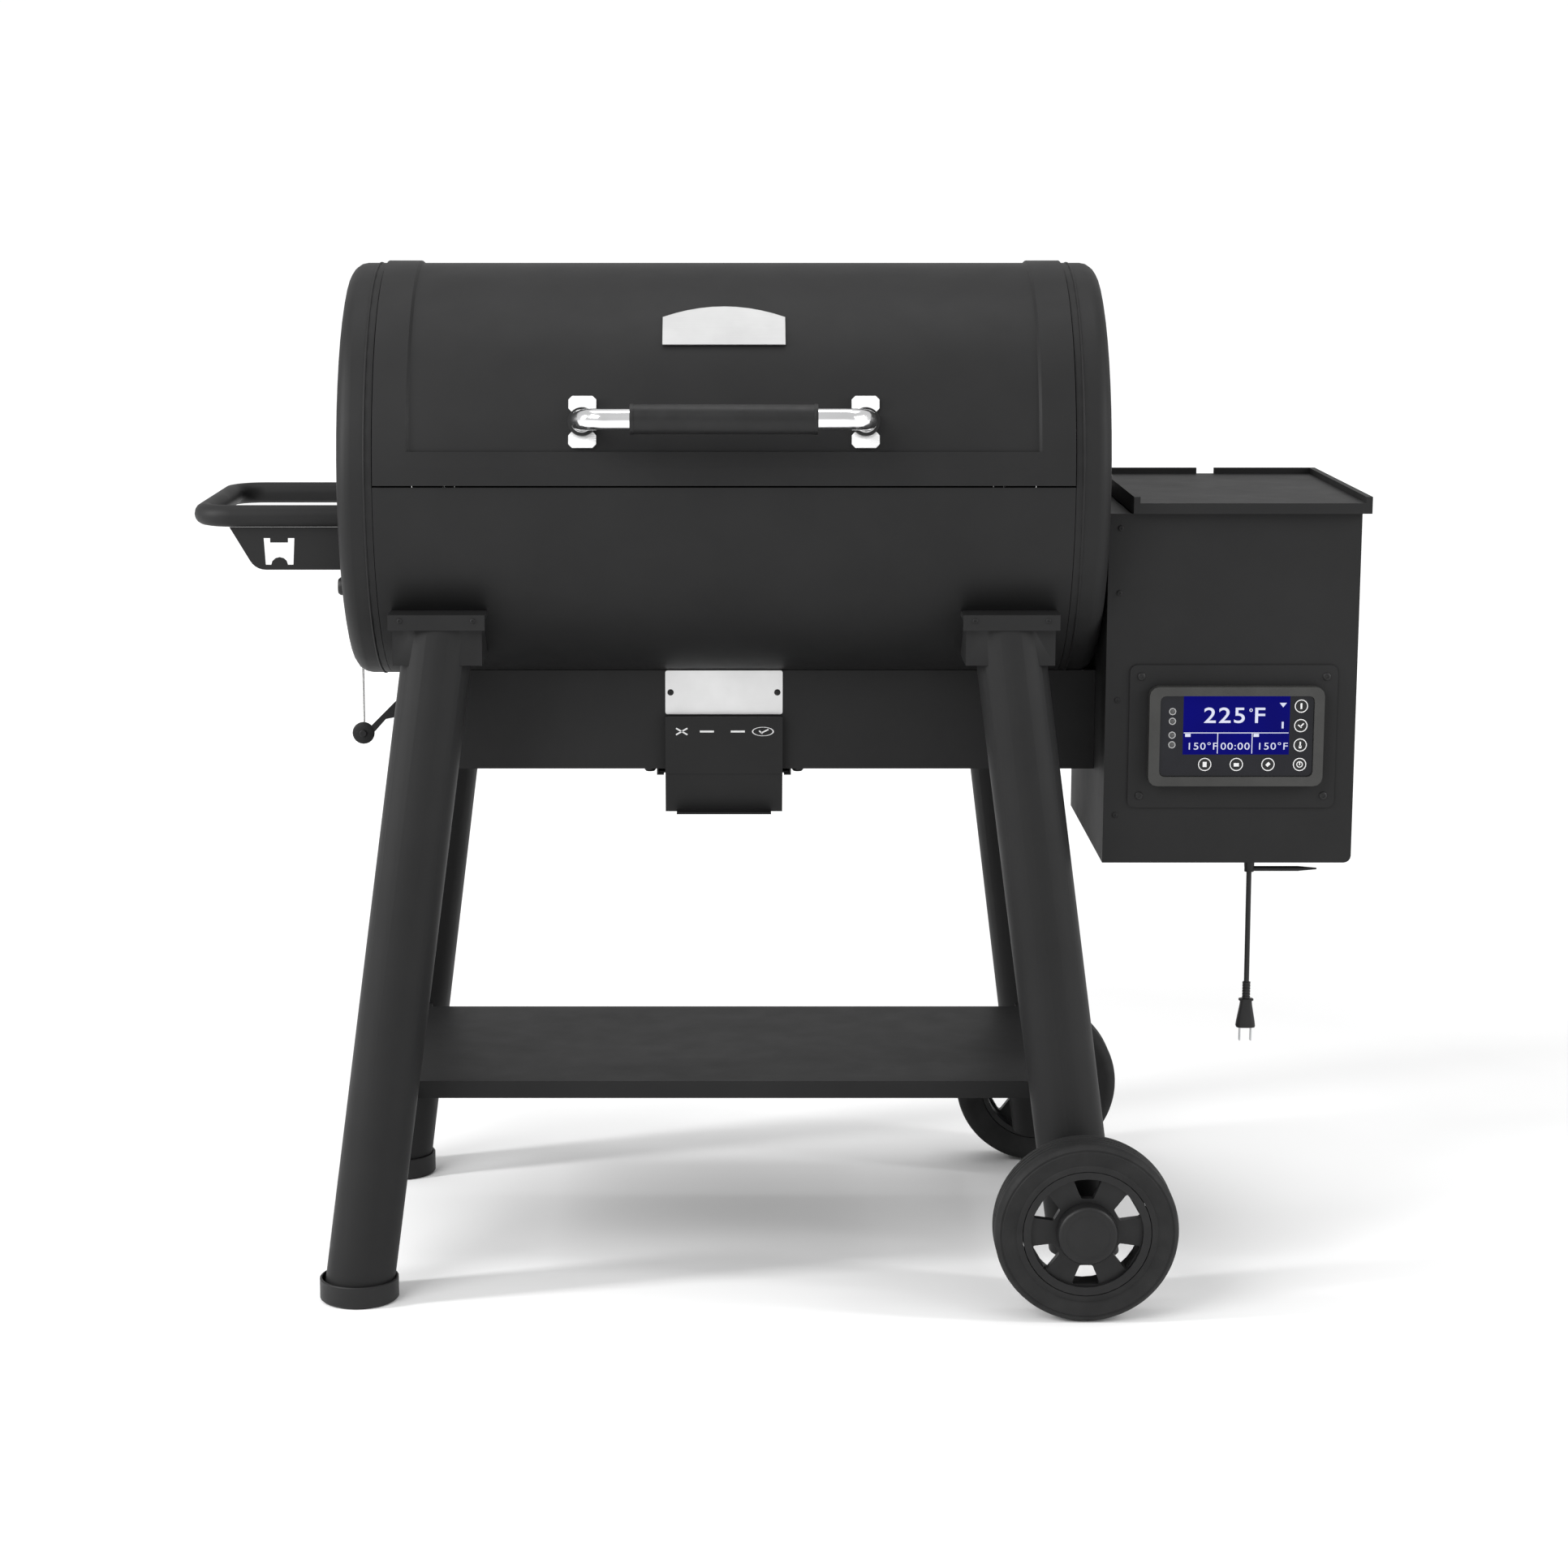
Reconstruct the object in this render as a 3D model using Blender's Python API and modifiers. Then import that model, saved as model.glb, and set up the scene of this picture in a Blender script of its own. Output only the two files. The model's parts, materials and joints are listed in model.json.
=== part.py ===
"""Pellet smoker grill: a barrel cooker on a splayed four-leg cart with a pellet hopper.

The model stands on Z = 0 with +Z up, the front of the grill faces -Y, and the hopper is on the +X side.
Every length is in metres. X is written from the middle of the barrel, and the whole grill hangs from one
empty that moves the middle of its outline onto the origin.
"""
import math

import bmesh
import bpy
from mathutils import Matrix, Vector

# ---------------------------------------------------------------- driving dimensions
NAME = "pellet_smoker_grill"
GAP = 0.0003                    # clearance between pieces that touch
OUTLINE_SHIFT = -0.059          # barrel middle to outline middle, along X

BARREL_Z = 0.9125               # height of the barrel's axis
BARREL_R = 0.234                # outer radius of the barrel
SHEET = 0.0015                  # wall of barrel, caps and housings
BARREL_HALF = 0.381             # barrel middle to end cap seam
CAP_DEPTH = 0.0430
CAP_EDGE = 0.017                # radius round the rim of a cap
CAP_BULGE = 0.003
CLEAR_R = BARREL_R + 0.0006     # what rests on the barrel is cut back to this radius

BORDER_RISE = 0.0027            # pressed border of the lid above its panel
BORDER_WIDTH = 0.037
LID_SEAM = math.radians(0.5)    # half of the slot between lid and lower half
LID_BORDER = math.radians(9.4)  # height of the front and rear border round the barrel
HINGE_Y, HINGE_R, HINGE_PIN_R = 0.246, 0.007, 0.003

HANDLE_X = 0.153                # barrel middle to a handle plate
HANDLE_Y, HANDLE_Z = -0.285, 0.990
HANDLE_R, GRIP_R, GRIP_LENGTH = 0.0115, 0.016, 0.200
PLATE_ANGLE = math.radians(17.3)
PLATE_R = BARREL_R + 0.0033     # barrel axis to the outer face of a handle plate

LEG_R, LEG_WALL = 0.0388, 0.0016
LEG_TOP = (0.312, 0.190, 0.757)  # a point on the leg's axis
LEG_SPREAD = (0.1328, 0.070)     # how far the axis moves out for each metre down
SADDLE_X, SADDLE_HALF, SADDLE_Y = 0.314, 0.053, 0.230
SADDLE_LOW, SADDLE_TOP, SADDLE_LIP = 0.716, 0.773, 0.017
FOOT_R, FOOT_HEIGHT = 0.0445, 0.025

WHEEL_R, WHEEL_WIDTH, WHEEL_INNER_Y = 0.1015, 0.050, 0.280
AXLE_X, AXLE_R = 0.399, 0.006

SHELF_HALF_X, SHELF_HALF_Y, SHELF_Z, SHELF_LIP = 0.372, 0.172, 0.232, 0.020

DUCT_LEFT, DUCT_HALF_Y, DUCT_Z = -0.330, 0.070, 0.5745
POT_HALF_X, POT_HALF_Y, POT_TOP = 0.060, 0.052, 0.676
AUGER_Z, AUGER_TUBE_R, AUGER_TUBE_END = 0.632, 0.024, 0.575
AUGER_PITCH, AUGER_TURNS, AUGER_END = 0.046, 11, 0.585
DRAWER_HALF_X, DRAWER_LOW = 0.067, 0.525
DRAWER_FRONT_Y = -0.0815

GRATE_Z, GRATE_THICK, GRATE_HALF_Y = 0.8543, 0.010, 0.2185
RACK_Z, RACK_THICK = 1.010, 0.005
TRAY_Z, TRAY_TILT = 0.775, math.radians(1.2)

RAIL_Z, RAIL_Y, RAIL_R, RAIL_LEFT = 0.872, 0.1376, 0.0122, -0.5818
HOOK_KNOB, KNOB_R = (-0.4205, 0.6043), 0.0130

HOPPER_LEFT, HOPPER_RIGHT, HOPPER_HALF_Y = 0.4245, 0.7035, 0.172
HOPPER_LOW, HOPPER_TOP, HOPPER_CORNER = 0.4855, 0.878, 0.008
THROAT = (0.500, 0.560, 0.018)   # left, right and half depth of the bin's outlet
LID_LEFT, LID_RIGHT, LID_HALF_Y = 0.450, 0.712, 0.184
LID_LOW, LID_TOP, LID_RIM = 0.879, 0.8907, 0.007
HOPPER_HINGE = (0.1785, 0.8835)  # Y and Z of the hopper lid's hinge

PANEL = (0.451, 0.682, 0.549, 0.710)      # left, right, low and high edge of the control plate
BEZEL = (0.472, 0.666, 0.5755, 0.687)
GLASS = (0.484, 0.655, 0.586, 0.677)
BEZEL_FRONT, GLASS_FRONT, KEY_FRONT = -0.1870, -0.1836, -0.1846
KEY_R = 0.0075
KEY_COLUMN_X, KEY_ROW_Z, KEY_STEP_X, KEY_STEP_Z = 0.6405, 0.5998, 0.0352, 0.0219

CORD_X, CORD_Y, CORD_R = 0.5965, -0.130, 0.003
CORD_TOP, CORD_END = 0.4665, 0.3380

FAN = (0.500, 0.0, 0.545)        # middle of the blower
FAN_R, FAN_HALF = 0.048, 0.024

# ---------------------------------------------------------------- finishes: colour, roughness, metallic
FINISHES = {
    "black_enamel": ((0.030, 0.030, 0.031), 0.42, 0.0),
    "black_plastic": ((0.022, 0.022, 0.023), 0.50, 0.0),
    "grey_plastic": ((0.090, 0.092, 0.095), 0.45, 0.0),
    "tyre_rubber": ((0.020, 0.020, 0.020), 0.75, 0.0),
    "chrome": ((0.800, 0.800, 0.800), 0.10, 1.0),
    "stainless": ((0.620, 0.620, 0.610), 0.28, 1.0),
    "aluminium": ((0.560, 0.560, 0.560), 0.40, 1.0),
    "cast_iron": ((0.045, 0.043, 0.042), 0.60, 0.3),
    "zinc_steel": ((0.420, 0.420, 0.430), 0.38, 1.0),
    "display_glass": ((0.010, 0.012, 0.060), 0.08, 0.0),
}


# ---------------------------------------------------------------- scene and finishing helpers
def clear_scene():
    """Empty the file's scene."""
    for old in list(bpy.data.objects):
        bpy.data.objects.remove(old, do_unlink=True)


def new_collection(name):
    """A collection linked under the scene's own."""
    collection = bpy.data.collections.new(name)
    bpy.context.scene.collection.children.link(collection)
    return collection


def finish_material(finish):
    """The Principled material of one finish, made once."""
    found = bpy.data.materials.get(finish)
    if found:
        return found
    colour, roughness, metallic = FINISHES[finish]
    material = bpy.data.materials.new(finish)
    material.use_nodes = True
    shader = material.node_tree.nodes["Principled BSDF"]
    shader.inputs["Base Color"].default_value = (*colour, 1.0)
    shader.inputs["Roughness"].default_value = roughness
    shader.inputs["Metallic"].default_value = metallic
    return material


def keep(obj, finish, parent):
    """Move a finished piece to the grill's collection, give it its finish and hang it from an empty."""
    WORKSHOP.objects.unlink(obj)
    GRILL.objects.link(obj)
    obj.data.materials.clear()
    obj.data.materials.append(finish_material(finish))
    obj.data.shade_smooth()
    obj.data.set_sharp_from_angle(angle=math.radians(35))
    obj.data.transform(Matrix.Translation(ROOT.location - parent.location))
    obj.parent = parent
    return obj


def joint_empty(name, x, y, z):
    """An empty on a joint's axis; x is measured from the barrel's middle."""
    empty = bpy.data.objects.new(name, None)
    empty.location = (x + OUTLINE_SHIFT, y, z)
    empty.empty_display_size = 0.05
    GRILL.objects.link(empty)
    return empty


# ---------------------------------------------------------------- shape helpers
def to_object(name, bm):
    """Turn a bmesh into an object on the workshop bench, faces out."""
    bmesh.ops.recalc_face_normals(bm, faces=bm.faces)
    mesh = bpy.data.meshes.new(name)
    bm.to_mesh(mesh)
    bm.free()
    obj = bpy.data.objects.new(name, mesh)
    WORKSHOP.objects.link(obj)
    return obj


def bake(obj, name=None):
    """Swap an object with modifiers or a curve for the plain mesh it evaluates to."""
    depsgraph = bpy.context.evaluated_depsgraph_get()
    depsgraph.update()
    mesh = bpy.data.meshes.new_from_object(obj.evaluated_get(depsgraph))
    matrix = obj.matrix_world.copy()
    name = name or obj.name
    bpy.data.objects.remove(obj, do_unlink=True)
    bm = bmesh.new()
    bm.from_mesh(mesh)
    bpy.data.meshes.remove(mesh)
    bm.transform(matrix)
    bmesh.ops.remove_doubles(bm, verts=bm.verts, dist=0.000005)
    return to_object(name, bm)


def boolean(body, tool, operation):
    """Cut, join or intersect a body with a tool and throw the tool away."""
    modifier = body.modifiers.new(operation.lower(), "BOOLEAN")
    modifier.operation = operation
    modifier.solver = "EXACT"
    modifier.object = tool
    result = bake(body)
    bpy.data.objects.remove(tool, do_unlink=True)
    return result


def cut(body, *tools):
    """Take each tool away from the body."""
    for tool in tools:
        body = boolean(body, tool, "DIFFERENCE")
    return body


def join(body, *others):
    """Weld each other body onto the first."""
    for other in others:
        body = boolean(body, other, "UNION")
    return body


def box(name, low, high):
    """A block between two opposite corners."""
    low, high = Vector(low), Vector(high)
    bm = bmesh.new()
    bmesh.ops.create_cube(bm, size=1.0)
    placed = Matrix.Translation((low + high) / 2) @ Matrix.Diagonal((*(high - low), 1.0))
    bmesh.ops.transform(bm, matrix=placed, verts=bm.verts)
    return to_object(name, bm)


def facing(origin, axis):
    """A matrix that puts local Z along the axis, at the origin given."""
    return Matrix.Translation(Vector(origin)) @ Vector(axis).to_track_quat("Z", "X").to_matrix().to_4x4()


def rod(name, start, end, radius, sides=24, end_radius=None):
    """A straight round bar, or a cone where the end radius differs."""
    start, end = Vector(start), Vector(end)
    bm = bmesh.new()
    bmesh.ops.create_cone(bm, cap_ends=True, segments=sides, radius1=radius,
                          radius2=radius if end_radius is None else end_radius, depth=(end - start).length)
    bmesh.ops.transform(bm, matrix=facing((start + end) / 2, end - start), verts=bm.verts)
    return to_object(name, bm)


def turned(name, profile, origin, axis, steps, closed=False):
    """A lathe-turned shape from (radius, height along the axis) points, by a Screw modifier."""
    mesh = bpy.data.meshes.new(name)
    edges = [(i, i + 1) for i in range(len(profile) - 1)]
    if closed:
        edges.append((len(profile) - 1, 0))
    mesh.from_pydata([(radius, 0.0, height) for radius, height in profile], edges, [])
    obj = bpy.data.objects.new(name, mesh)
    WORKSHOP.objects.link(obj)
    obj.matrix_world = facing(origin, axis)
    screw = obj.modifiers.new("turn", "SCREW")
    screw.axis = "Z"
    screw.steps = steps
    screw.render_steps = steps
    screw.use_merge_vertices = True
    screw.merge_threshold = 0.00002
    return bake(obj)


def barrel_sheet(name, profile, start, sweep, steps, wall):
    """Sheet bent round the barrel's axis: (x, middle radius) points swept from a start angle.

    Angles run from the front of the barrel over its top; a negative sweep runs under it.
    """
    mesh = bpy.data.meshes.new(name)
    points = [(x, -radius * math.cos(start), radius * math.sin(start)) for x, radius in profile]
    mesh.from_pydata(points, [(i, i + 1) for i in range(len(points) - 1)], [])
    obj = bpy.data.objects.new(name, mesh)
    WORKSHOP.objects.link(obj)
    obj.location = (0.0, 0.0, BARREL_Z)
    screw = obj.modifiers.new("bend", "SCREW")
    screw.axis = "X"
    screw.angle = -sweep
    screw.steps = steps
    screw.render_steps = steps
    solidify = obj.modifiers.new("wall", "SOLIDIFY")
    solidify.thickness = wall
    solidify.offset = 0.0
    return bake(obj)


def rounded_path(points, radius, steps=4, closed=False):
    """The same path with each inner corner replaced by an arc."""
    points = [Vector(point) for point in points]
    count = len(points)
    path = []
    for i, corner in enumerate(points):
        if not closed and i in (0, count - 1):
            path.append(corner)
            continue
        back = (points[i - 1] - corner).normalized()
        ahead = (points[(i + 1) % count] - corner).normalized()
        half = back.angle(ahead) / 2
        centre = corner + (back + ahead).normalized() * radius / math.sin(half)
        first = (corner + back * radius / math.tan(half) - centre).normalized()
        last = (corner + ahead * radius / math.tan(half) - centre).normalized()
        path += [centre + first.slerp(last, k / steps) * radius for k in range(steps + 1)]
    return path


def tube(name, path, radius, sides=16):
    """A round bar along a path, made as a bevelled curve with filled caps."""
    curve = bpy.data.curves.new(name, "CURVE")
    curve.dimensions = "3D"
    curve.bevel_depth = radius
    curve.bevel_resolution = sides // 2 - 2
    curve.use_fill_caps = True
    spline = curve.splines.new("POLY")
    spline.points.add(len(path) - 1)
    for point, place in zip(spline.points, path):
        point.co = (*place, 1.0)
    obj = bpy.data.objects.new(name, curve)
    WORKSHOP.objects.link(obj)
    return bake(obj)


def flat_plate(name, outline, thickness, matrix):
    """A plate of even thickness: a filled 2D curve, extruded, then placed by a matrix."""
    curve = bpy.data.curves.new(name, "CURVE")
    curve.dimensions = "2D"
    curve.fill_mode = "BOTH"
    curve.extrude = thickness / 2
    spline = curve.splines.new("POLY")
    spline.points.add(len(outline) - 1)
    for point, place in zip(spline.points, outline):
        point.co = (place[0], place[1], 0.0, 1.0)
    spline.use_cyclic_u = True
    obj = bpy.data.objects.new(name, curve)
    WORKSHOP.objects.link(obj)
    obj.matrix_world = matrix
    return bake(obj)


def front_plane(y):
    """Matrix for a plate drawn in X and Z, standing at depth y."""
    return Matrix.Translation((0.0, y, 0.0)) @ Matrix.Rotation(math.radians(90), 4, "X")


def front_slab(name, edges, y_front, y_back, corner):
    """A rounded rectangle between two depths; edges are left, right, low, high."""
    left, right, low, high = edges
    outline = rounded_path([(left, low, 0), (right, low, 0), (right, high, 0), (left, high, 0)],
                           corner, 3, closed=True)
    return flat_plate(name, outline, y_back - y_front, front_plane((y_front + y_back) / 2))


def barrel_cutter(radius=CLEAR_R):
    """A solid the size of the barrel, for shaping what rests against it."""
    return rod("barrel_cutter", (-0.5, 0, BARREL_Z), (0.5, 0, BARREL_Z), radius, sides=96)


def leg_axis(side, end, z):
    """The point at height z on a leg's axis; side and end are -1 or +1."""
    top_x, top_y, top_z = LEG_TOP
    drop = top_z - z
    return Vector((side * (top_x + LEG_SPREAD[0] * drop), end * (top_y + LEG_SPREAD[1] * drop), z))


# ---------------------------------------------------------------- barrel
def make_barrel_shell():
    """Lower half of the barrel with its fire opening, exhaust slots, grate ledges and tray rods."""
    middle = BARREL_R - SHEET / 2
    half = BARREL_HALF - GAP
    shell = barrel_sheet("barrel_shell", [(-half, middle), (half, middle)], 0.0, -math.pi, 36, SHEET)
    for end in (-1, 1):
        low, high = sorted((end * 0.205, end * 0.2255))
        shell = join(shell, box("ledge", (-0.370, low, 0.852), (0.370, high, 0.854)))
    for x in (-0.300, 0.300):
        z = TRAY_Z - 0.0051 + x * math.tan(TRAY_TILT)
        tray_rod = rod("tray_rod", (x, -BARREL_R, z), (x, BARREL_R, z), 0.004, 12)
        shell = join(shell, boolean(tray_rod, barrel_cutter(middle), "INTERSECT"))
    shell = cut(shell, box("opening", (-0.075, -0.055, 0.60), (0.075, 0.055, 0.72)))
    for x in (-0.180, 0.0, 0.180):
        shell = cut(shell, box("exhaust", (x - 0.060, 0.18, 0.857), (x + 0.060, 0.28, 0.869)))
    keep(shell, "black_enamel", ROOT)


def cap_profile():
    """Outer face from the middle to the rim, then back along the inner face."""
    edge_x, flat_r = CAP_DEPTH - CAP_BULGE - CAP_EDGE, BARREL_R - CAP_EDGE
    turn = [math.radians(90 - 22.5 * k) for k in range(5)]
    outer = [(0.0, CAP_DEPTH), (flat_r * 0.6, CAP_DEPTH - CAP_BULGE * 0.36)]
    outer += [(flat_r + CAP_EDGE * math.cos(a), edge_x + CAP_EDGE * math.sin(a)) for a in turn]
    inner_edge = CAP_EDGE - SHEET
    inner = [(flat_r + inner_edge * math.cos(a), edge_x + inner_edge * math.sin(a)) for a in reversed(turn)]
    inner += [(flat_r * 0.6, CAP_DEPTH - SHEET - CAP_BULGE * 0.36), (0.0, CAP_DEPTH - SHEET)]
    return outer + [(BARREL_R, GAP), (BARREL_R - SHEET, GAP)] + inner


def cap_solid(side):
    """A solid that fills a cap's outer shape and stands clear of it, for shaping what meets it."""
    edge_x, flat_r = CAP_DEPTH - CAP_BULGE - CAP_EDGE, BARREL_R - CAP_EDGE
    reach = CAP_EDGE + GAP
    turn = [math.radians(90 - 15 * k) for k in range(7)]
    rim = [(flat_r + reach * math.cos(a), edge_x + reach * math.sin(a)) for a in turn]
    profile = [(0.0, edge_x + reach)] + rim + [(BARREL_R + GAP, -0.01), (0.0, -0.01)]
    return turned("cap_solid", profile, (side * BARREL_HALF, 0, BARREL_Z), (side, 0, 0), 96)


def make_end_caps():
    """Two full-round pressed caps with a rolled edge."""
    for name, side in (("left_end_cap", -1), ("right_end_cap", 1)):
        cap = turned(name, cap_profile(), (side * BARREL_HALF, 0, BARREL_Z), (side, 0, 0), 48)
        keep(cap, "black_enamel", ROOT)


def lid_knuckle(x_low, x_high):
    """One hinge eye of the lid with the leaf that ties it to the lid's rear border."""
    eye = rod("eye", (x_low, HINGE_Y, BARREL_Z), (x_high, HINGE_Y, BARREL_Z), HINGE_R, 16)
    leaf = box("leaf", (x_low, 0.2350, 0.9160), (x_high, 0.2400, 0.9400))
    bridge = box("bridge", (x_low, 0.2380, 0.9165), (x_high, HINGE_Y, 0.9190))
    return join(eye, leaf, bridge)


def make_lid():
    """Upper half of the barrel: one pressed sheet with a raised border, and two hinge eyes."""
    half = BARREL_HALF - 0.0008
    panel, raised = BARREL_R - SHEET / 2, BARREL_R + BORDER_RISE - SHEET / 2
    inner_x = BARREL_HALF - BORDER_WIDTH
    profile = [(-half, raised), (-inner_x, raised), (-inner_x + 0.003, panel),
               (inner_x - 0.003, panel), (inner_x, raised), (half, raised)]
    lid = barrel_sheet("barrel_lid", profile, LID_SEAM, math.pi - 2 * LID_SEAM, 36, SHEET)
    strip_wall = BORDER_RISE + 0.0005
    strip_r = BARREL_R + BORDER_RISE - strip_wall / 2
    for start in (LID_SEAM, math.pi - LID_BORDER):
        sweep = LID_BORDER - LID_SEAM
        ends = inner_x + 0.001
        lid = join(lid, barrel_sheet("strip", [(-ends, strip_r), (ends, strip_r)], start, sweep, 2, strip_wall))
    for x_low, x_high in ((-0.190, -0.130), (0.130, 0.190)):
        lid = join(lid, lid_knuckle(x_low, x_high))
    bore = rod("bore", (-0.3, HINGE_Y, BARREL_Z), (0.3, HINGE_Y, BARREL_Z), HINGE_PIN_R + 0.0006, 16)
    keep(cut(lid, bore), "black_enamel", LID_AXIS)


def make_lid_hinge():
    """Fixed hinge leaf behind the barrel, with its three eyes and the pin through them."""
    hinge = box("lid_hinge", (-0.280, BARREL_R + GAP, 0.872), (0.280, 0.2375, 0.9045))
    for x_low, x_high in ((-0.280, -0.200), (-0.040, 0.040), (0.200, 0.280)):
        eye = rod("eye", (x_low, HINGE_Y, BARREL_Z), (x_high, HINGE_Y, BARREL_Z), HINGE_R, 16)
        bridge = box("bridge", (x_low, 0.2355, 0.9005), (x_high, HINGE_Y, 0.9085))
        hinge = join(hinge, bridge, eye)
    pin = rod("pin", (-0.284, HINGE_Y, BARREL_Z), (0.284, HINGE_Y, BARREL_Z), HINGE_PIN_R, 16)
    keep(join(hinge, pin), "black_enamel", ROOT)


def tangent_plane(angle, radius, x=0.0):
    """Matrix of a plate that lies on the barrel: local X along the barrel, local Y up its curve."""
    out = Vector((0.0, -math.cos(angle), math.sin(angle)))
    up = Vector((0.0, math.sin(angle), math.cos(angle)))
    rotation = Matrix((Vector((1, 0, 0)), up, out)).transposed().to_4x4()
    place = Vector((x, 0.0, BARREL_Z)) + out * radius
    return Matrix.Translation(place) @ rotation


def make_badge():
    """Blank name plate with an arched top, flat against the lid's panel."""
    half, low, shoulder, crown = 0.067, -0.0285, 0.0125, 0.0285
    arch_steps = 10
    outline = [(-half, low, 0), (half, low, 0)]
    for k in range(arch_steps + 1):
        x = half * (1 - 2 * k / arch_steps)
        outline.append((x, shoulder + (crown - shoulder) * (1 - (x / half) ** 2), 0))
    thickness = 0.0012
    badge = flat_plate("lid_badge", outline, thickness,
                       tangent_plane(math.radians(46.5), BARREL_R + GAP + thickness / 2))
    keep(badge, "stainless", LID_AXIS)


def handle_direction():
    """Unit vector from the handle's tube in to the middle of its plate."""
    plate = Vector((0.0, -math.cos(PLATE_ANGLE), math.sin(PLATE_ANGLE))) * PLATE_R
    plate += Vector((0.0, 0.0, BARREL_Z))
    return plate, (plate - Vector((0.0, HANDLE_Y, HANDLE_Z))).normalized()


def make_handle():
    """Two waisted plates, the bent tube between them and the grip on it."""
    plate_middle, inward = handle_direction()
    collar_end = plate_middle - inward * 0.010
    lobe, waist, tall, waist_tall = 0.015, 0.0105, 0.0285, 0.010
    right_half = [(waist, -waist_tall), (lobe, -0.015), (lobe, -tall + 0.004), (lobe - 0.004, -tall)]
    lower = [(-x, y) for x, y in right_half] + [(x, y) for x, y in reversed(right_half)]
    outline = [(x, y, 0) for x, y in lower] + [(-x, -y, 0) for x, y in lower]
    thickness = 0.003
    for name, side in (("handle_plate_left", -1), ("handle_plate_right", 1)):
        place = tangent_plane(PLATE_ANGLE, PLATE_R - thickness / 2, side * HANDLE_X)
        plate = flat_plate(name, outline, thickness, place)
        offset = Vector((side * HANDLE_X, 0.0, 0.0))
        collar = rod("collar", plate_middle + offset + inward * 0.002, collar_end + offset, 0.0145, 20)
        plate = cut(join(plate, collar), barrel_cutter(BARREL_R + 0.0003))
        keep(plate, "chrome", LID_AXIS)
    start = collar_end - inward * GAP
    path = rounded_path([(-HANDLE_X, start.y, start.z), (-HANDLE_X, HANDLE_Y, HANDLE_Z),
                         (HANDLE_X, HANDLE_Y, HANDLE_Z), (HANDLE_X, start.y, start.z)], 0.025, 5)
    keep(tube("handle_tube", path, HANDLE_R, 16), "chrome", LID_AXIS)
    half = GRIP_LENGTH / 2
    bore_r = HANDLE_R + 0.0005
    profile = [(bore_r, -half), (GRIP_R - 0.0015, -half), (GRIP_R, -half + 0.0015),
               (GRIP_R, half - 0.0015), (GRIP_R - 0.0015, half), (bore_r, half)]
    grip = turned("handle_grip", profile, (0, HANDLE_Y, HANDLE_Z), (1, 0, 0), 24, closed=True)
    keep(grip, "black_plastic", LID_AXIS)


# ---------------------------------------------------------------- cart
def saddle_block(end, x_edges, y_edges, z_edges):
    """A box of a saddle; Y is measured outwards from the cart's middle, towards the front or the rear."""
    y_low, y_high = sorted(end * y for y in y_edges)
    return box("saddle_block", (x_edges[0], y_low, z_edges[0]), (x_edges[1], y_high, z_edges[1]))


def make_saddle(side, end):
    """Flange that carries the barrel, with a deep front lip, a web round the leg and a cheek at each side."""
    left, right = side * SADDLE_X - SADDLE_HALF, side * SADDLE_X + SADDLE_HALF
    flange = saddle_block(end, (left, right), (0.130, SADDLE_Y), (0.767, SADDLE_TOP))
    lip = saddle_block(end, (left, right), (SADDLE_Y - 0.003, SADDLE_Y), (SADDLE_TOP - SADDLE_LIP, 0.7715))
    left, right, web_y = left + 0.004, right - 0.004, SADDLE_Y - 0.010
    web = saddle_block(end, (left, right), (web_y - 0.003, web_y), (SADDLE_LOW, 0.7685))
    cheeks = [saddle_block(end, (x, x + 0.003), (0.131, web_y), (SADDLE_LOW, 0.7685))
              for x in (left, right - 0.003)]
    return flange, lip, web, *cheeks


def make_leg(name, side, end, low):
    """A splayed leg tube welded under its saddle, coped to the barrel."""
    leg = rod(name, leg_axis(side, end, low - 0.05), leg_axis(side, end, 0.85), LEG_R, 32)
    bore = rod("bore", leg_axis(side, end, low - 0.06), leg_axis(side, end, 0.86), LEG_R - LEG_WALL, 32)
    floor_cut = box("floor_cut", (-0.6, -0.4, -0.2), (0.6, 0.4, low))
    top_cut = box("top_cut", (-0.6, -0.4, 0.7685), (0.6, 0.4, 0.95))
    leg = cut(leg, bore, floor_cut, top_cut)
    leg = join(leg, *make_saddle(side, end))
    leg = cut(leg, barrel_cutter())
    if low > 0.01:
        axle_z = WHEEL_R
        leg = cut(leg, rod("axle_bore", (AXLE_X, -0.4, axle_z), (AXLE_X, 0.4, axle_z), AXLE_R + 0.0005, 16))
    keep(leg, "black_enamel", ROOT)


def make_legs():
    """Left legs stand in foot caps, right legs stop behind the wheels."""
    foot_floor = 0.0035
    for name, side, end, low in (("front_left_leg", -1, -1, foot_floor + GAP),
                                 ("rear_left_leg", -1, 1, foot_floor + GAP),
                                 ("front_right_leg", 1, -1, 0.055),
                                 ("rear_right_leg", 1, 1, 0.055)):
        make_leg(name, side, end, low)
    inner = FOOT_R - 0.0025
    profile = [(0, 0), (FOOT_R - 0.002, 0), (FOOT_R, 0.002), (FOOT_R, FOOT_HEIGHT - 0.001),
               (FOOT_R - 0.001, FOOT_HEIGHT), (inner, FOOT_HEIGHT), (inner, foot_floor), (0, foot_floor)]
    for name, end in (("front_foot_cap", -1), ("rear_foot_cap", 1)):
        middle = leg_axis(-1, end, FOOT_HEIGHT / 2)
        foot = turned(name, profile, (middle.x, middle.y, 0), (0, 0, 1), 32)
        keep(foot, "black_plastic", ROOT)


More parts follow.
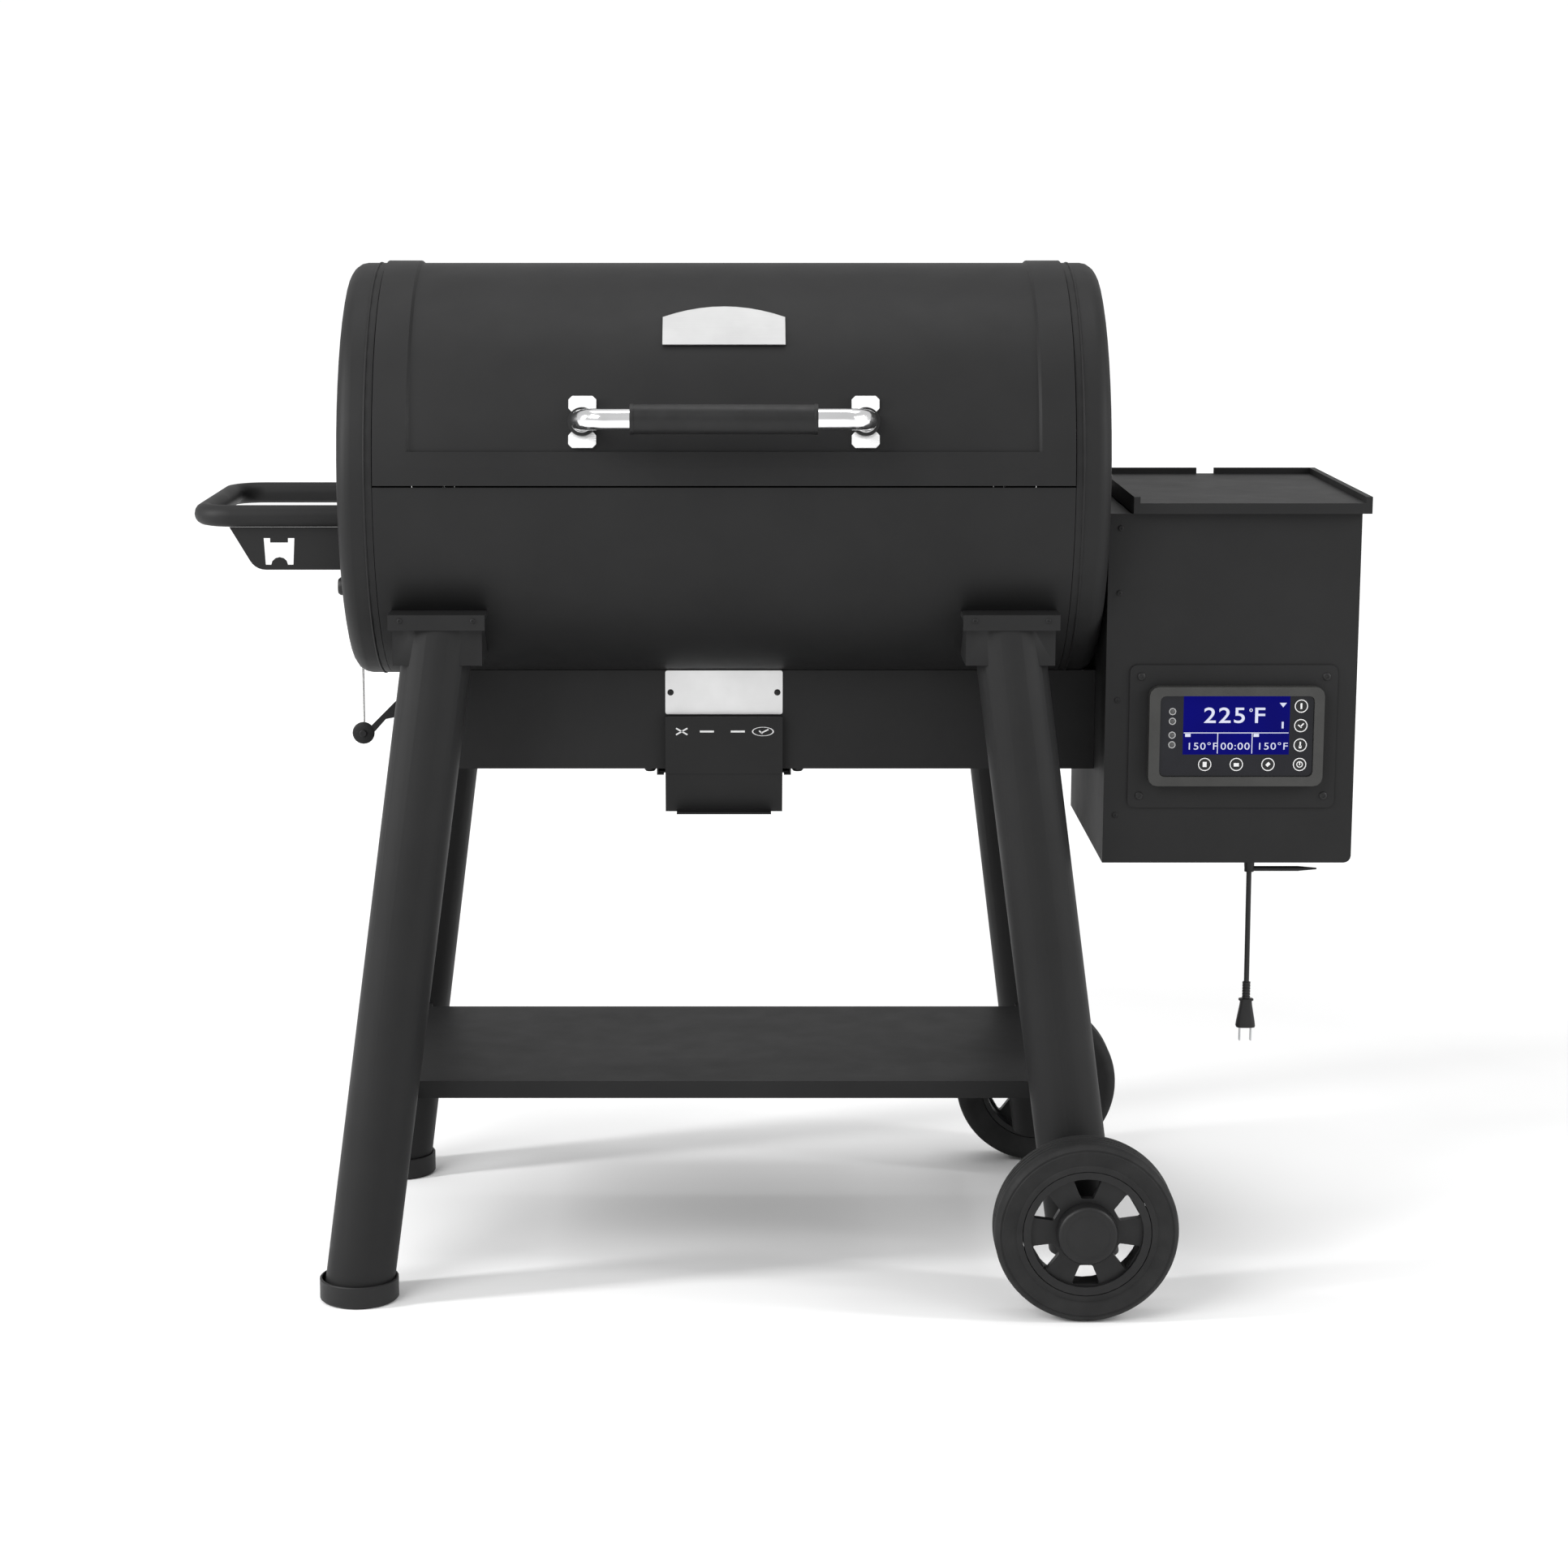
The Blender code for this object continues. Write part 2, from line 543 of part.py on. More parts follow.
def make_shelf():
    """Folded tray between the legs on two cross bars that are coped to the leg tubes."""
    shelf = box("bottom_shelf", (-SHELF_HALF_X, -SHELF_HALF_Y, SHELF_Z - SHELF_LIP),
                (SHELF_HALF_X, SHELF_HALF_Y, SHELF_Z))
    under = box("under", (-0.5, -SHELF_HALF_Y + SHEET, 0.1), (0.5, SHELF_HALF_Y - SHEET, SHELF_Z - SHEET))
    shelf = cut(shelf, under)
    for side in (-1, 1):
        low, high = sorted((side * 0.362, side * 0.402))
        bar = box("bar", (low, -0.200, SHELF_Z - 0.026), (high, 0.200, SHELF_Z - SHEET + 0.0005))
        bar = cut(bar, box("channel", (low + SHEET, -0.3, 0.1), (high - SHEET, 0.3, SHELF_Z - 2 * SHEET)))
        for end in (-1, 1):
            bar = cut(bar, rod("cope", leg_axis(side, end, 0.15), leg_axis(side, end, 0.30), LEG_R + 0.0006, 32))
        shelf = join(shelf, bar)
    keep(shelf, "black_enamel", ROOT)


def wheel_window(angle):
    """Trapezoid cutter for one window of the wheel, wider towards the tyre; wheel axis along Y."""
    outline = [(-0.007, 0.038, 0), (0.007, 0.038, 0), (0.016, 0.060, 0), (-0.016, 0.060, 0)]
    outline = rounded_path(outline, 0.002, 2, closed=True)
    spin = Matrix.Rotation(angle - math.pi / 2, 4, "Y")
    place = Matrix.Translation((AXLE_X, 0.0, WHEEL_R)) @ spin @ Matrix.Rotation(math.radians(90), 4, "X")
    return flat_plate("window", outline, 0.9, place)


def make_wheels():
    """Axle through the right legs, and a tyre, wheel and hub cap at each end of it."""
    centre = (AXLE_X, 0.0, WHEEL_R)
    axle_half = WHEEL_INNER_Y + 0.048
    axle = rod("wheel_axle", (AXLE_X, -axle_half, WHEEL_R), (AXLE_X, axle_half, WHEEL_R), AXLE_R, 16)
    keep(axle, "zinc_steel", ROOT)
    bore = AXLE_R + 0.0004
    rim = [(bore, 0.002), (bore, 0.047), (0.020, 0.047), (0.020, 0.040), (0.062, 0.040), (0.062, 0.046),
           (0.0705, 0.048), (0.0705, 0.002), (0.064, 0.002), (0.064, 0.030), (0.020, 0.030), (0.020, 0.002)]
    tread = WHEEL_R
    tyre = [(0.0710, 0.001), (0.0710, 0.049), (0.090, 0.050), (0.0985, 0.0475), (tread, 0.042),
            (tread, 0.008), (0.0985, 0.0025), (0.090, 0.0)]
    cap = [(0, 0.058), (0.029, 0.058), (0.033, 0.055), (0.033, 0.0403), (0.0305, 0.0403), (0.0305, 0.050),
           (0, 0.050)]
    for name, end, axis_empty in (("front", -1, FRONT_WHEEL_AXIS), ("rear", 1, REAR_WHEEL_AXIS)):
        origin = Vector(centre) + Vector((0.0, end * WHEEL_INNER_Y, 0.0))
        wheel = turned(name + "_wheel", rim, origin, (0, end, 0), 36, closed=True)
        for k in range(6):
            wheel = cut(wheel, wheel_window(math.radians(90 + 60 * k)))
        keep(wheel, "black_plastic", axis_empty)
        keep(turned(name + "_tyre", tyre, origin, (0, end, 0), 48, closed=True), "tyre_rubber", axis_empty)
        keep(turned(name + "_hub_cap", cap, origin, (0, end, 0), 32), "black_plastic", axis_empty)


# ---------------------------------------------------------------- firebox and burner
def make_firebox_housing():
    """Folded duct under the barrel, open to it and to the hopper, with the ash drawer's rails."""
    right = HOPPER_LEFT - GAP
    duct = box("firebox_housing", (DUCT_LEFT, -DUCT_HALF_Y, DUCT_Z), (right, DUCT_HALF_Y, 0.70))
    inside = box("inside", (DUCT_LEFT + SHEET, -DUCT_HALF_Y + SHEET, DUCT_Z + SHEET),
                 (0.5, DUCT_HALF_Y - SHEET, 0.75))
    ash_hole = box("ash_hole", (-0.056, -0.048, 0.55), (0.056, 0.048, 0.60))
    duct = cut(duct, inside, barrel_cutter(), ash_hole)
    for side in (-1, 1):
        angle_section = [(0.0690, 0.5665), (0.0770, 0.5665), (0.0770, DUCT_Z + 0.001),
                         (0.0750, DUCT_Z + 0.001), (0.0750, 0.5685), (0.0690, 0.5685)]
        outline = [(side * x, z, 0) for x, z in angle_section]
        duct = join(duct, flat_plate("rail", outline, 0.134, front_plane(0.0010)))
    keep(duct, "black_enamel", ROOT)
    plate = front_slab("front_shield_plate", (-0.067, 0.067, 0.6380, 0.6885),
                       -DUCT_HALF_Y - GAP - 0.0012, -DUCT_HALF_Y - GAP, 0.0025)
    keep(plate, "aluminium", ROOT)


def make_ash_drawer():
    """Pan with a front that slopes back below the housing, a tall panel, side flanges and a finger lip."""
    front, back, wall, slope = DRAWER_FRONT_Y, 0.075, 0.0015, 0.0095
    side_plane = Matrix(((0, 0, 1, 0), (1, 0, 0, 0), (0, 1, 0, 0), (0, 0, 0, 1)))
    section = [(front + 0.0006, 0.5735), (front + slope, DRAWER_LOW), (back, DRAWER_LOW), (back, 0.5735)]
    pan = flat_plate("ash_drawer", section, 2 * DRAWER_HALF_X, side_plane)
    hollow_section = [(front + wall - 0.004, 0.60), (front + slope + wall, DRAWER_LOW + wall),
                      (back - wall, DRAWER_LOW + wall), (back - wall, 0.60)]
    hollow = flat_plate("hollow", hollow_section, 2 * (DRAWER_HALF_X - wall), side_plane)
    panel = box("panel", (-DRAWER_HALF_X, front, 0.5705), (DRAWER_HALF_X, front + 0.0019, 0.636))
    fold = box("fold", (-DRAWER_HALF_X, front, 0.634), (DRAWER_HALF_X, -DUCT_HALF_Y - 0.0006, 0.636))
    lip = box("lip", (-0.054, front - 0.009, DRAWER_LOW), (0.054, front + slope + 0.001, DRAWER_LOW + 0.002))
    pan = join(cut(pan, hollow), panel, fold, lip)
    for side in (-1, 1):
        low, high = sorted((side * (DRAWER_HALF_X - 0.001), side * 0.0745))
        pan = join(pan, box("flange", (low, -0.064, 0.5688), (high, back, 0.5708)))
    keep(pan, "black_enamel", DRAWER_AXIS)


def make_fire_pot():
    """Burn cup on a skirt, with a pellet inlet, an igniter hole, an air slot and floor slots."""
    wall = 0.0025
    pot = box("fire_pot", (-POT_HALF_X, -POT_HALF_Y, DUCT_Z + SHEET + GAP), (POT_HALF_X, POT_HALF_Y, POT_TOP))
    cup = box("cup", (-POT_HALF_X + wall, -POT_HALF_Y + wall, 0.601),
              (POT_HALF_X - wall, POT_HALF_Y - wall, 0.70))
    skirt = box("skirt", (-POT_HALF_X + wall, -POT_HALF_Y + wall, 0.55),
                (POT_HALF_X - wall, POT_HALF_Y - wall, 0.598))
    inlet = rod("inlet", (0.04, 0, AUGER_Z), (0.08, 0, AUGER_Z), 0.021, 24)
    igniter_hole = rod("igniter_hole", (0.04, 0.034, 0.612), (0.08, 0.034, 0.612), 0.0056, 12)
    air_slot = box("air_slot", (0.04, -0.030, 0.580), (0.08, 0.030, 0.592))
    pot = cut(pot, cup, skirt, inlet, igniter_hole, air_slot)
    for x in (-0.036, -0.012, 0.012, 0.036):
        pot = cut(pot, box("slot", (x - 0.003, -0.035, 0.59), (x + 0.003, 0.035, 0.61)))
    keep(pot, "zinc_steel", ROOT)
    igniter = rod("igniter_rod", (0.046, 0.034, 0.612), (0.150, 0.034, 0.612), 0.005, 12)
    keep(igniter, "stainless", ROOT)


def make_auger():
    """Feed tube with its filling slot, the screw that turns in it and the gear motor behind."""
    start = POT_HALF_X + 0.0005
    feed = rod("auger_tube", (start, 0, AUGER_Z), (AUGER_TUBE_END, 0, AUGER_Z), AUGER_TUBE_R, 24)
    bore = rod("bore", (0, 0, AUGER_Z), (0.7, 0, AUGER_Z), AUGER_TUBE_R - 0.0025, 24)
    left, right, half = THROAT
    slot = box("slot", (left + 0.003, -half + 0.003, AUGER_Z), (right - 0.003, half - 0.003, 0.70))
    keep(cut(feed, bore, slot), "zinc_steel", ROOT)

    flight_start = start + 0.004
    mesh = bpy.data.meshes.new("flight")
    mesh.from_pydata([(0.0045, 0, 0), (0.0195, 0, 0), (0.0195, 0, 0.0025), (0.0045, 0, 0.0025)],
                     [(0, 1), (1, 2), (2, 3), (3, 0)], [(0, 1, 2, 3)])
    flight = bpy.data.objects.new("flight", mesh)
    WORKSHOP.objects.link(flight)
    flight.matrix_world = facing((flight_start, 0, AUGER_Z), (1, 0, 0))
    steps = 12 * AUGER_TURNS
    screw = flight.modifiers.new("helix", "SCREW")
    screw.axis = "Z"
    screw.screw_offset = AUGER_PITCH * AUGER_TURNS
    screw.angle = 2 * math.pi * AUGER_TURNS
    screw.steps = steps
    screw.render_steps = steps
    flight = close_ends(bake(flight))
    shaft = rod("auger_screw", (start + 0.001, 0, AUGER_Z), (AUGER_END, 0, AUGER_Z), 0.006, 12)
    keep(join(shaft, flight), "zinc_steel", AUGER_AXIS)

    back = AUGER_END + GAP
    motor = box("auger_motor", (back, -0.028, AUGER_Z - 0.028), (back + 0.030, 0.028, AUGER_Z + 0.024))
    can = rod("can", (back + 0.029, 0, AUGER_Z), (back + 0.075, 0, AUGER_Z), 0.021, 24)
    keep(join(motor, can), "zinc_steel", ROOT)


def close_ends(obj):
    """Fill the open ends of a swept strip and drop the loose section face it started from."""
    bm = bmesh.new()
    bm.from_mesh(obj.data)
    inner = [face for face in bm.faces if all(len(edge.link_faces) > 2 for edge in face.edges)]
    bmesh.ops.delete(bm, geom=inner, context="FACES_ONLY")
    open_edges = [edge for edge in bm.edges if len(edge.link_faces) == 1]
    bmesh.ops.holes_fill(bm, edges=open_edges)
    name = obj.name
    bpy.data.objects.remove(obj, do_unlink=True)
    return to_object(name, bm)


def make_fan():
    """Blower scroll under the bin with its outlet to the duct, and the bladed wheel inside."""
    x, y, z = FAN
    low, high = y - FAN_HALF, y + FAN_HALF
    scroll = rod("fan_housing", (x, low, z), (x, high, z), FAN_R, 32)
    outlet = box("outlet", (HOPPER_LEFT + SHEET + GAP, low + 0.002, z + 0.020), (x, high - 0.002, z + 0.044))
    wall = 0.0015
    chamber = rod("chamber", (x, low + wall, z), (x, high - wall, z), FAN_R - wall, 32)
    throat = box("throat", (0.40, low + 0.004, z + 0.022), (x, high - 0.004, z + 0.042))
    inlet = rod("inlet", (x, low - 0.01, z), (x, y, z), 0.026, 24)
    air_path = join(chamber, throat, inlet)
    keep(cut(join(scroll, outlet), air_path), "black_plastic", ROOT)
    wheel = rod("fan_impeller", (x, high - 0.008, z), (x, high - 0.005, z), 0.038, 24)
    for k in range(12):
        turn = math.radians(30 * k)
        blade = box("blade", (0.029, low + 0.006, -0.0007), (0.0375, high - 0.007, 0.0007))
        blade.matrix_world = Matrix.Translation((x, 0, z)) @ Matrix.Rotation(turn, 4, "Y")
        wheel = join(wheel, bake(blade))
    hub = rod("hub", (x, y - 0.004, z), (x, high - 0.006, z), 0.007, 16)
    keep(join(wheel, hub), "black_plastic", FAN_AXIS)


# ---------------------------------------------------------------- inside the barrel
def slotted_plate(name, x_low, x_high, y_low, y_high, z, thick, slot, bar, rows):
    """A grid: a plate with rows of slots that run front to back."""
    plate = box(name, (x_low, y_low, z), (x_high, y_high, z + thick))
    count = int((x_high - x_low - bar) / (slot + bar))
    margin = (x_high - x_low - count * (slot + bar) + bar) / 2
    row_depth = (y_high - y_low - bar) / rows
    bm = bmesh.new()
    for row in range(rows):
        for column in range(count):
            centre_x = x_low + margin + slot / 2 + column * (slot + bar)
            centre_y = y_low + bar / 2 + row_depth * (row + 0.5)
            placed = Matrix.Translation((centre_x, centre_y, z)) @ Matrix.Diagonal((slot, row_depth - bar, 0.1, 1))
            bmesh.ops.create_cube(bm, size=1.0, matrix=placed)
    return cut(plate, to_object("slots", bm))


def make_cooking_parts():
    """Heat diffuser, drip tray, two cast grates, the upper rack and the temperature probe."""
    diffuser = box("heat_diffuser", (-0.190, -0.130, 0.735), (0.190, 0.130, 0.738))
    for side in (-1, 1):
        low, high = sorted((side * 0.185, side * 0.188))
        diffuser = join(diffuser, box("foot", (low, -0.100, 0.7036), (high, 0.100, 0.736)))
    keep(diffuser, "zinc_steel", ROOT)

    tray = box("drip_tray", (-0.365, -0.160, -0.00075), (0.365, 0.160, 0.014))
    tray = cut(tray, box("pan", (-0.3635, -0.1585, 0.00075), (0.3635, 0.1585, 0.05)))
    tray.matrix_world = Matrix.Translation((0, 0, TRAY_Z)) @ Matrix.Rotation(-TRAY_TILT, 4, "Y")
    keep(bake(tray), "zinc_steel", ROOT)

    for name, low, high in (("left_cooking_grate", -0.370, -0.0015), ("right_cooking_grate", 0.0015, 0.370)):
        grate = slotted_plate(name, low, high, -GRATE_HALF_Y, GRATE_HALF_Y, GRATE_Z, GRATE_THICK,
                              0.012, 0.010, 2)
        keep(grate, "cast_iron", ROOT)

    rack = slotted_plate("warming_rack", -0.330, 0.330, -0.020, 0.130, RACK_Z, RACK_THICK, 0.021, 0.006, 1)
    foot_z = GRATE_Z + GRATE_THICK + GAP
    for x in (-0.323, 0.323):
        for y in (-0.016, 0.126):
            rack = join(rack, rod("rack_leg", (x, y, foot_z), (x, y, RACK_Z + 0.002), 0.003, 8))
    keep(rack, "stainless", ROOT)

    probe = rod("temperature_probe", (0.330, 0.090, 0.950), (0.4175, 0.090, 0.950), 0.003, 12)
    flange = rod("flange", (0.4145, 0.090, 0.950), (0.4175, 0.090, 0.950), 0.011, 16)
    keep(join(probe, flange), "stainless", ROOT)


# ---------------------------------------------------------------- left end
def make_side_handle():
    """Tube loop on the left end cap and the opener plate under its front rail."""
    cap_face = -(BARREL_HALF + CAP_DEPTH - 0.0008)
    path = rounded_path([(cap_face, -RAIL_Y, RAIL_Z), (RAIL_LEFT, -RAIL_Y, RAIL_Z),
                         (RAIL_LEFT, RAIL_Y, RAIL_Z), (cap_face, RAIL_Y, RAIL_Z)], 0.036, 6)
    keep(tube("side_handle", path, RAIL_R, 16), "black_enamel", ROOT)

    top = RAIL_Z - RAIL_R - GAP
    low = 0.812
    sheet = [(cap_face, low, 0), (cap_face, top, 0), (-0.550, top, 0), (-0.522, low, 0)]
    outline = sheet[:3] + rounded_path([sheet[2], sheet[3], sheet[0]], 0.020, 5)[1:-1]
    plate = flat_plate("opener_bracket", outline, 0.003, front_plane(-RAIL_Y))
    middle, mouth_low, mouth_high = -0.4953, 0.8175, 0.8474
    mouth = [(0.0172, mouth_high), (0.0098, mouth_high), (0.0098, 0.8425)]
    foot = [(0.0092, mouth_low), (0.0155, mouth_low)]
    hump = [(0.0092 * math.cos(a), mouth_low + 0.0085 * math.sin(a))
            for a in (math.radians(30 * k) for k in range(1, 6))]
    right_side = [(-x, z) for x, z in reversed(mouth)]
    opener = mouth + right_side + [(-x, z) for x, z in reversed(foot)] + hump[::-1] + foot
    cutter = flat_plate("mouth", [(middle + x, z, 0) for x, z in opener], 0.02, front_plane(-RAIL_Y))
    keep(cut(plate, cutter), "black_enamel", ROOT)


def make_bucket_hook():
    """Wire that hangs from the left cap for a grease bucket, and the arm with a knob that steadies it."""
    x, z = HOOK_KNOB
    knob = turned("hook_arm", [(0, 0.0065), (0.0035, 0.0065), (0.0045, 0.0055), (0.0045, 0.0040),
                               (0.0100, 0.0034), (0.0125, 0.0018), (KNOB_R, 0), (0.0125, -0.0018),
                               (0.0100, -0.0034), (0, -0.0040)], (x, 0, z), (0, -1, 0), 24)
    edge = [(0.0060, -0.0031), (0.0135, 0.0020), (0.0265, 0.0165), (0.0365, 0.0185),
            (DUCT_LEFT - GAP - x, 0.0190), (DUCT_LEFT - GAP - x, 0.0500), (0.0600, 0.0497), (0.0500, 0.0475),
            (0.0370, 0.0365), (0.0057, 0.0051)]
    arm = flat_plate("arm", [(x + reach, z + rise, 0) for reach, rise in edge], 0.003, front_plane(0))
    keep(join(knob, arm), "black_enamel", ROOT)

    top = BARREL_Z - BARREL_R + CAP_EDGE
    wire = rod("bucket_hook", (x, 0, z), (x, 0, top), 0.0022, 12)
    clear_knob = rod("clear_knob", (x, -0.01, z), (x, 0.01, z), KNOB_R + GAP, 24)
    keep(cut(wire, clear_knob, cap_solid(-1)), "stainless", ROOT)


# ---------------------------------------------------------------- hopper
def hopper_outline(inset, top):
    """Front outline of the cabinet's sheet, moved in by an inset, with its lower right corner rounded."""
    left, right, low = HOPPER_LEFT + inset, HOPPER_RIGHT - inset, HOPPER_LOW + inset
    radius = HOPPER_CORNER - inset
    turn = [math.radians(-90 + 22.5 * k) for k in range(5)]
    corner = [(right - radius + radius * math.cos(a), low + radius + radius * math.sin(a), 0) for a in turn]
    return [(left, low, 0)] + corner + [(right, top, 0), (left, top, 0)]


def make_hopper():
    """Hopper cabinet, its hinged lid and the pellet bin that hangs inside."""
    body = flat_plate("hopper_body", hopper_outline(0.0, HOPPER_TOP), 2 * HOPPER_HALF_Y, front_plane(0))
    inside = flat_plate("inside", hopper_outline(SHEET, 0.95), 2 * (HOPPER_HALF_Y - SHEET), front_plane(0))
    duct_hole = box("duct_hole", (0.40, -0.030, 0.574), (0.45, 0.030, 0.662))
    control_hole = box("control_hole", (0.489, -0.20, 0.589), (0.651, -0.15, 0.674))
    gland_hole = rod("gland_hole", (CORD_X, CORD_Y, 0.47), (CORD_X, CORD_Y, 0.50), 0.0060, 16)
    body = cut(body, inside, duct_hole, control_hole, gland_hole)
    ledge = box("ledge", (HOPPER_LEFT, -HOPPER_HALF_Y, HOPPER_TOP - SHEET),
                (LID_LEFT - 0.001, HOPPER_HALF_Y, HOPPER_TOP))
    hinge_y, hinge_z = HOPPER_HINGE
    body = join(body, ledge)
    for x_low, x_high in ((0.480, 0.500), (0.660, 0.680)):
        arm = box("arm", (x_low, HOPPER_HALF_Y - 0.001, 0.868), (x_high, hinge_y, hinge_z - 0.001))
        eye = rod("eye", (x_low, hinge_y, hinge_z), (x_high, hinge_y, hinge_z), 0.0030, 12)
        body = join(body, arm, eye)
    keep(body, "black_enamel", ROOT)
    make_hopper_lid()
    make_hopper_bin()


def make_hopper_lid():
    """Shallow lid with a raised rim on three sides, a finger notch in the rear rim and hinge ears."""
    wall = 0.002
    rim_top = LID_TOP + LID_RIM
    lid = box("hopper_lid", (LID_LEFT, -LID_HALF_Y, LID_LOW), (LID_RIGHT, LID_HALF_Y, rim_top))
    under = box("under", (LID_LEFT + wall, -LID_HALF_Y + wall, 0.80),
                (LID_RIGHT - wall, LID_HALF_Y - wall, LID_TOP - wall))
    over = box("over", (LID_LEFT + 0.007, -0.30, LID_TOP), (LID_RIGHT - 0.007, LID_HALF_Y - 0.005, 0.95))
    notch = box("notch", (0.5690, 0.15, LID_TOP), (0.5900, 0.25, 0.95))
    lid = cut(lid, under, over, notch)
    for x_low, x_high in ((0.4785, 0.5015), (0.6585, 0.6815)):
        lid = cut(lid, box("arm_notch", (x_low, 0.178, 0.87), (x_high, 0.19, 0.8855)))
    hinge_y, hinge_z = HOPPER_HINGE
    for x_low, x_high in ((0.502, 0.520), (0.640, 0.658)):
        ear = box("ear", (x_low, hinge_y - 0.0035, hinge_z - 0.0035), (x_high, hinge_y + 0.0045, LID_TOP - 0.001))
        lid = join(lid, ear)
    keep(lid, "black_enamel", HOPPER_LID_AXIS)


def make_hopper_bin():
    """Pellet bin: straight sides, then four slopes down to the throat over the feed tube."""
    inset = SHEET + 0.0008
    left, right, depth = HOPPER_LEFT + inset, HOPPER_RIGHT - inset, HOPPER_HALF_Y - inset
    throat_left, throat_right, throat_half = THROAT
    throat_z = AUGER_Z + AUGER_TUBE_R + 0.0005
    rings = [((left, right, depth), HOPPER_TOP - 0.004), ((left, right, depth), 0.800),
             ((throat_left, throat_right, throat_half), throat_z + 0.006),
             ((throat_left, throat_right, throat_half), throat_z)]
    bm = bmesh.new()
    loops = []
    for (x_low, x_high, half), z in rings:
        corners = ((x_low, -half), (x_high, -half), (x_high, half), (x_low, half))
        loops.append([bm.verts.new((x, y, z)) for x, y in corners])
    for upper, lower in zip(loops, loops[1:]):
        for k in range(4):
            bm.faces.new((upper[k], lower[k], lower[(k + 1) % 4], upper[(k + 1) % 4]))
    funnel = to_object("hopper_bin", bm)
    solidify = funnel.modifiers.new("wall", "SOLIDIFY")
    solidify.thickness = 0.0012
    solidify.offset = -1.0
    solidify.use_even_offset = True
    keep(bake(funnel), "zinc_steel", ROOT)


# ---------------------------------------------------------------- controller
def key_places():
    """Name, x and z of each key: a column down the right edge and a row along the bottom."""
    column = ["key_probe", "key_menu", "key_temperature"]
    row = ["key_mode", "key_timer", "key_light", "key_power"]
    places = [(name, KEY_COLUMN_X, KEY_ROW_Z + KEY_STEP_Z * (3 - i)) for i, name in enumerate(column)]
    places += [(name, KEY_COLUMN_X - KEY_STEP_X * (3 - i), KEY_ROW_Z) for i, name in enumerate(row)]
    return places


def make_controller():
    """Control plate on the cabinet, the controller's housing through it, its window and its keys."""
    face = -HOPPER_HALF_Y - GAP
    plate = front_slab("control_plate", PANEL, face - 0.002, face, 0.008)
    keep(cut(plate, box("hole", (0.489, -0.3, 0.589), (0.651, 0.0, 0.674))), "black_enamel", ROOT)

    housing = front_slab("controller_housing", BEZEL, BEZEL_FRONT, face - 0.002 - GAP, 0.010)
    pocket = front_slab("pocket", GLASS, -0.30, GLASS_FRONT + 0.0055, 0.006)
    back_box = box("back_box", (0.4895, -0.1775, 0.5895), (0.6505, -0.138, 0.6735))
    hollow = box("hollow", (0.4915, -0.1755, 0.5915), (0.6485, -0.10, 0.6715))
    housing = cut(join(cut(housing, pocket), back_box), hollow)
    keep(housing, "grey_plastic", ROOT)

    left, right, low, high = GLASS
    edges = (left + GAP, right - GAP, low + GAP, high - GAP)
    glass = front_slab("display_window", edges, GLASS_FRONT, GLASS_FRONT + 0.0020, 0.006)
    holes = bmesh.new()
    for _, x, z in key_places():
        bmesh.ops.create_cone(holes, cap_ends=True, segments=20, radius1=KEY_R + 0.0004, radius2=KEY_R + 0.0004,
                              depth=0.1, matrix=facing((x, GLASS_FRONT, z), (0, 1, 0)))
    keep(cut(glass, to_object("key_holes", holes)), "display_glass", ROOT)
    for name, x, z in key_places():
        axis = joint_empty(name + "_axis", x, KEY_FRONT, z)
        key = rod(name, (x, KEY_FRONT, z), (x, KEY_FRONT + 0.0040, z), KEY_R, 20)
        keep(key, "black_plastic", axis)


# ---------------------------------------------------------------- mains cord
def make_cord():
    """Gland with its cord hook under the hopper, the hanging cord and the plug on its end."""
    gland = rod("cord_gland", (CORD_X, CORD_Y, CORD_TOP + GAP), (CORD_X, CORD_Y, HOPPER_LOW + 0.004), 0.0055, 16)
    collar = rod("collar", (CORD_X, CORD_Y, HOPPER_LOW - 0.0036), (CORD_X, CORD_Y, HOPPER_LOW - GAP), 0.0080, 16)
    hook_z = CORD_TOP + 0.0035
    hook = rod("hook", (CORD_X, CORD_Y, hook_z), (CORD_X + 0.056, CORD_Y, hook_z), 0.0030, 12)
    tip = rod("tip", (CORD_X + 0.055, CORD_Y, hook_z), (CORD_X + 0.0765, CORD_Y, hook_z), 0.0030, 12, 0.0010)
    keep(join(gland, collar, hook, tip), "black_plastic", ROOT)

    steps = 8
    path = [(CORD_X + 0.0008 * k / steps, CORD_Y, CORD_TOP + (CORD_END - CORD_TOP) * k / steps)
            for k in range(steps + 1)]
    keep(tube("power_cord", path, CORD_R, 10), "black_plastic", ROOT)

    x = CORD_X + 0.0008
    plug = rod("power_plug", (x, CORD_Y, CORD_END - 0.022), (x, CORD_Y, CORD_END - GAP), 0.0045, 16)
    flange = box("flange", (x - 0.0085, CORD_Y - 0.006, 0.3160), (x + 0.0085, CORD_Y + 0.006, 0.3185))
    outline = [(-0.0065, 0.3170, 0), (-0.0112, 0.2850, 0), (0.0112, 0.2850, 0), (0.0065, 0.3170, 0)]
    wedge = flat_plate("wedge", [(x + dx, z, 0) for dx, z, _ in outline], 0.016, front_plane(CORD_Y))
    plug = join(plug, flange, wedge)
    for offset in (-0.0063, 0.0063):
        blade = box("blade", (x + offset - 0.0008, CORD_Y - 0.0032, 0.2690),
                    (x + offset + 0.0008, CORD_Y + 0.0032, 0.2870))
        plug = join(plug, blade)
    keep(plug, "black_plastic", ROOT)


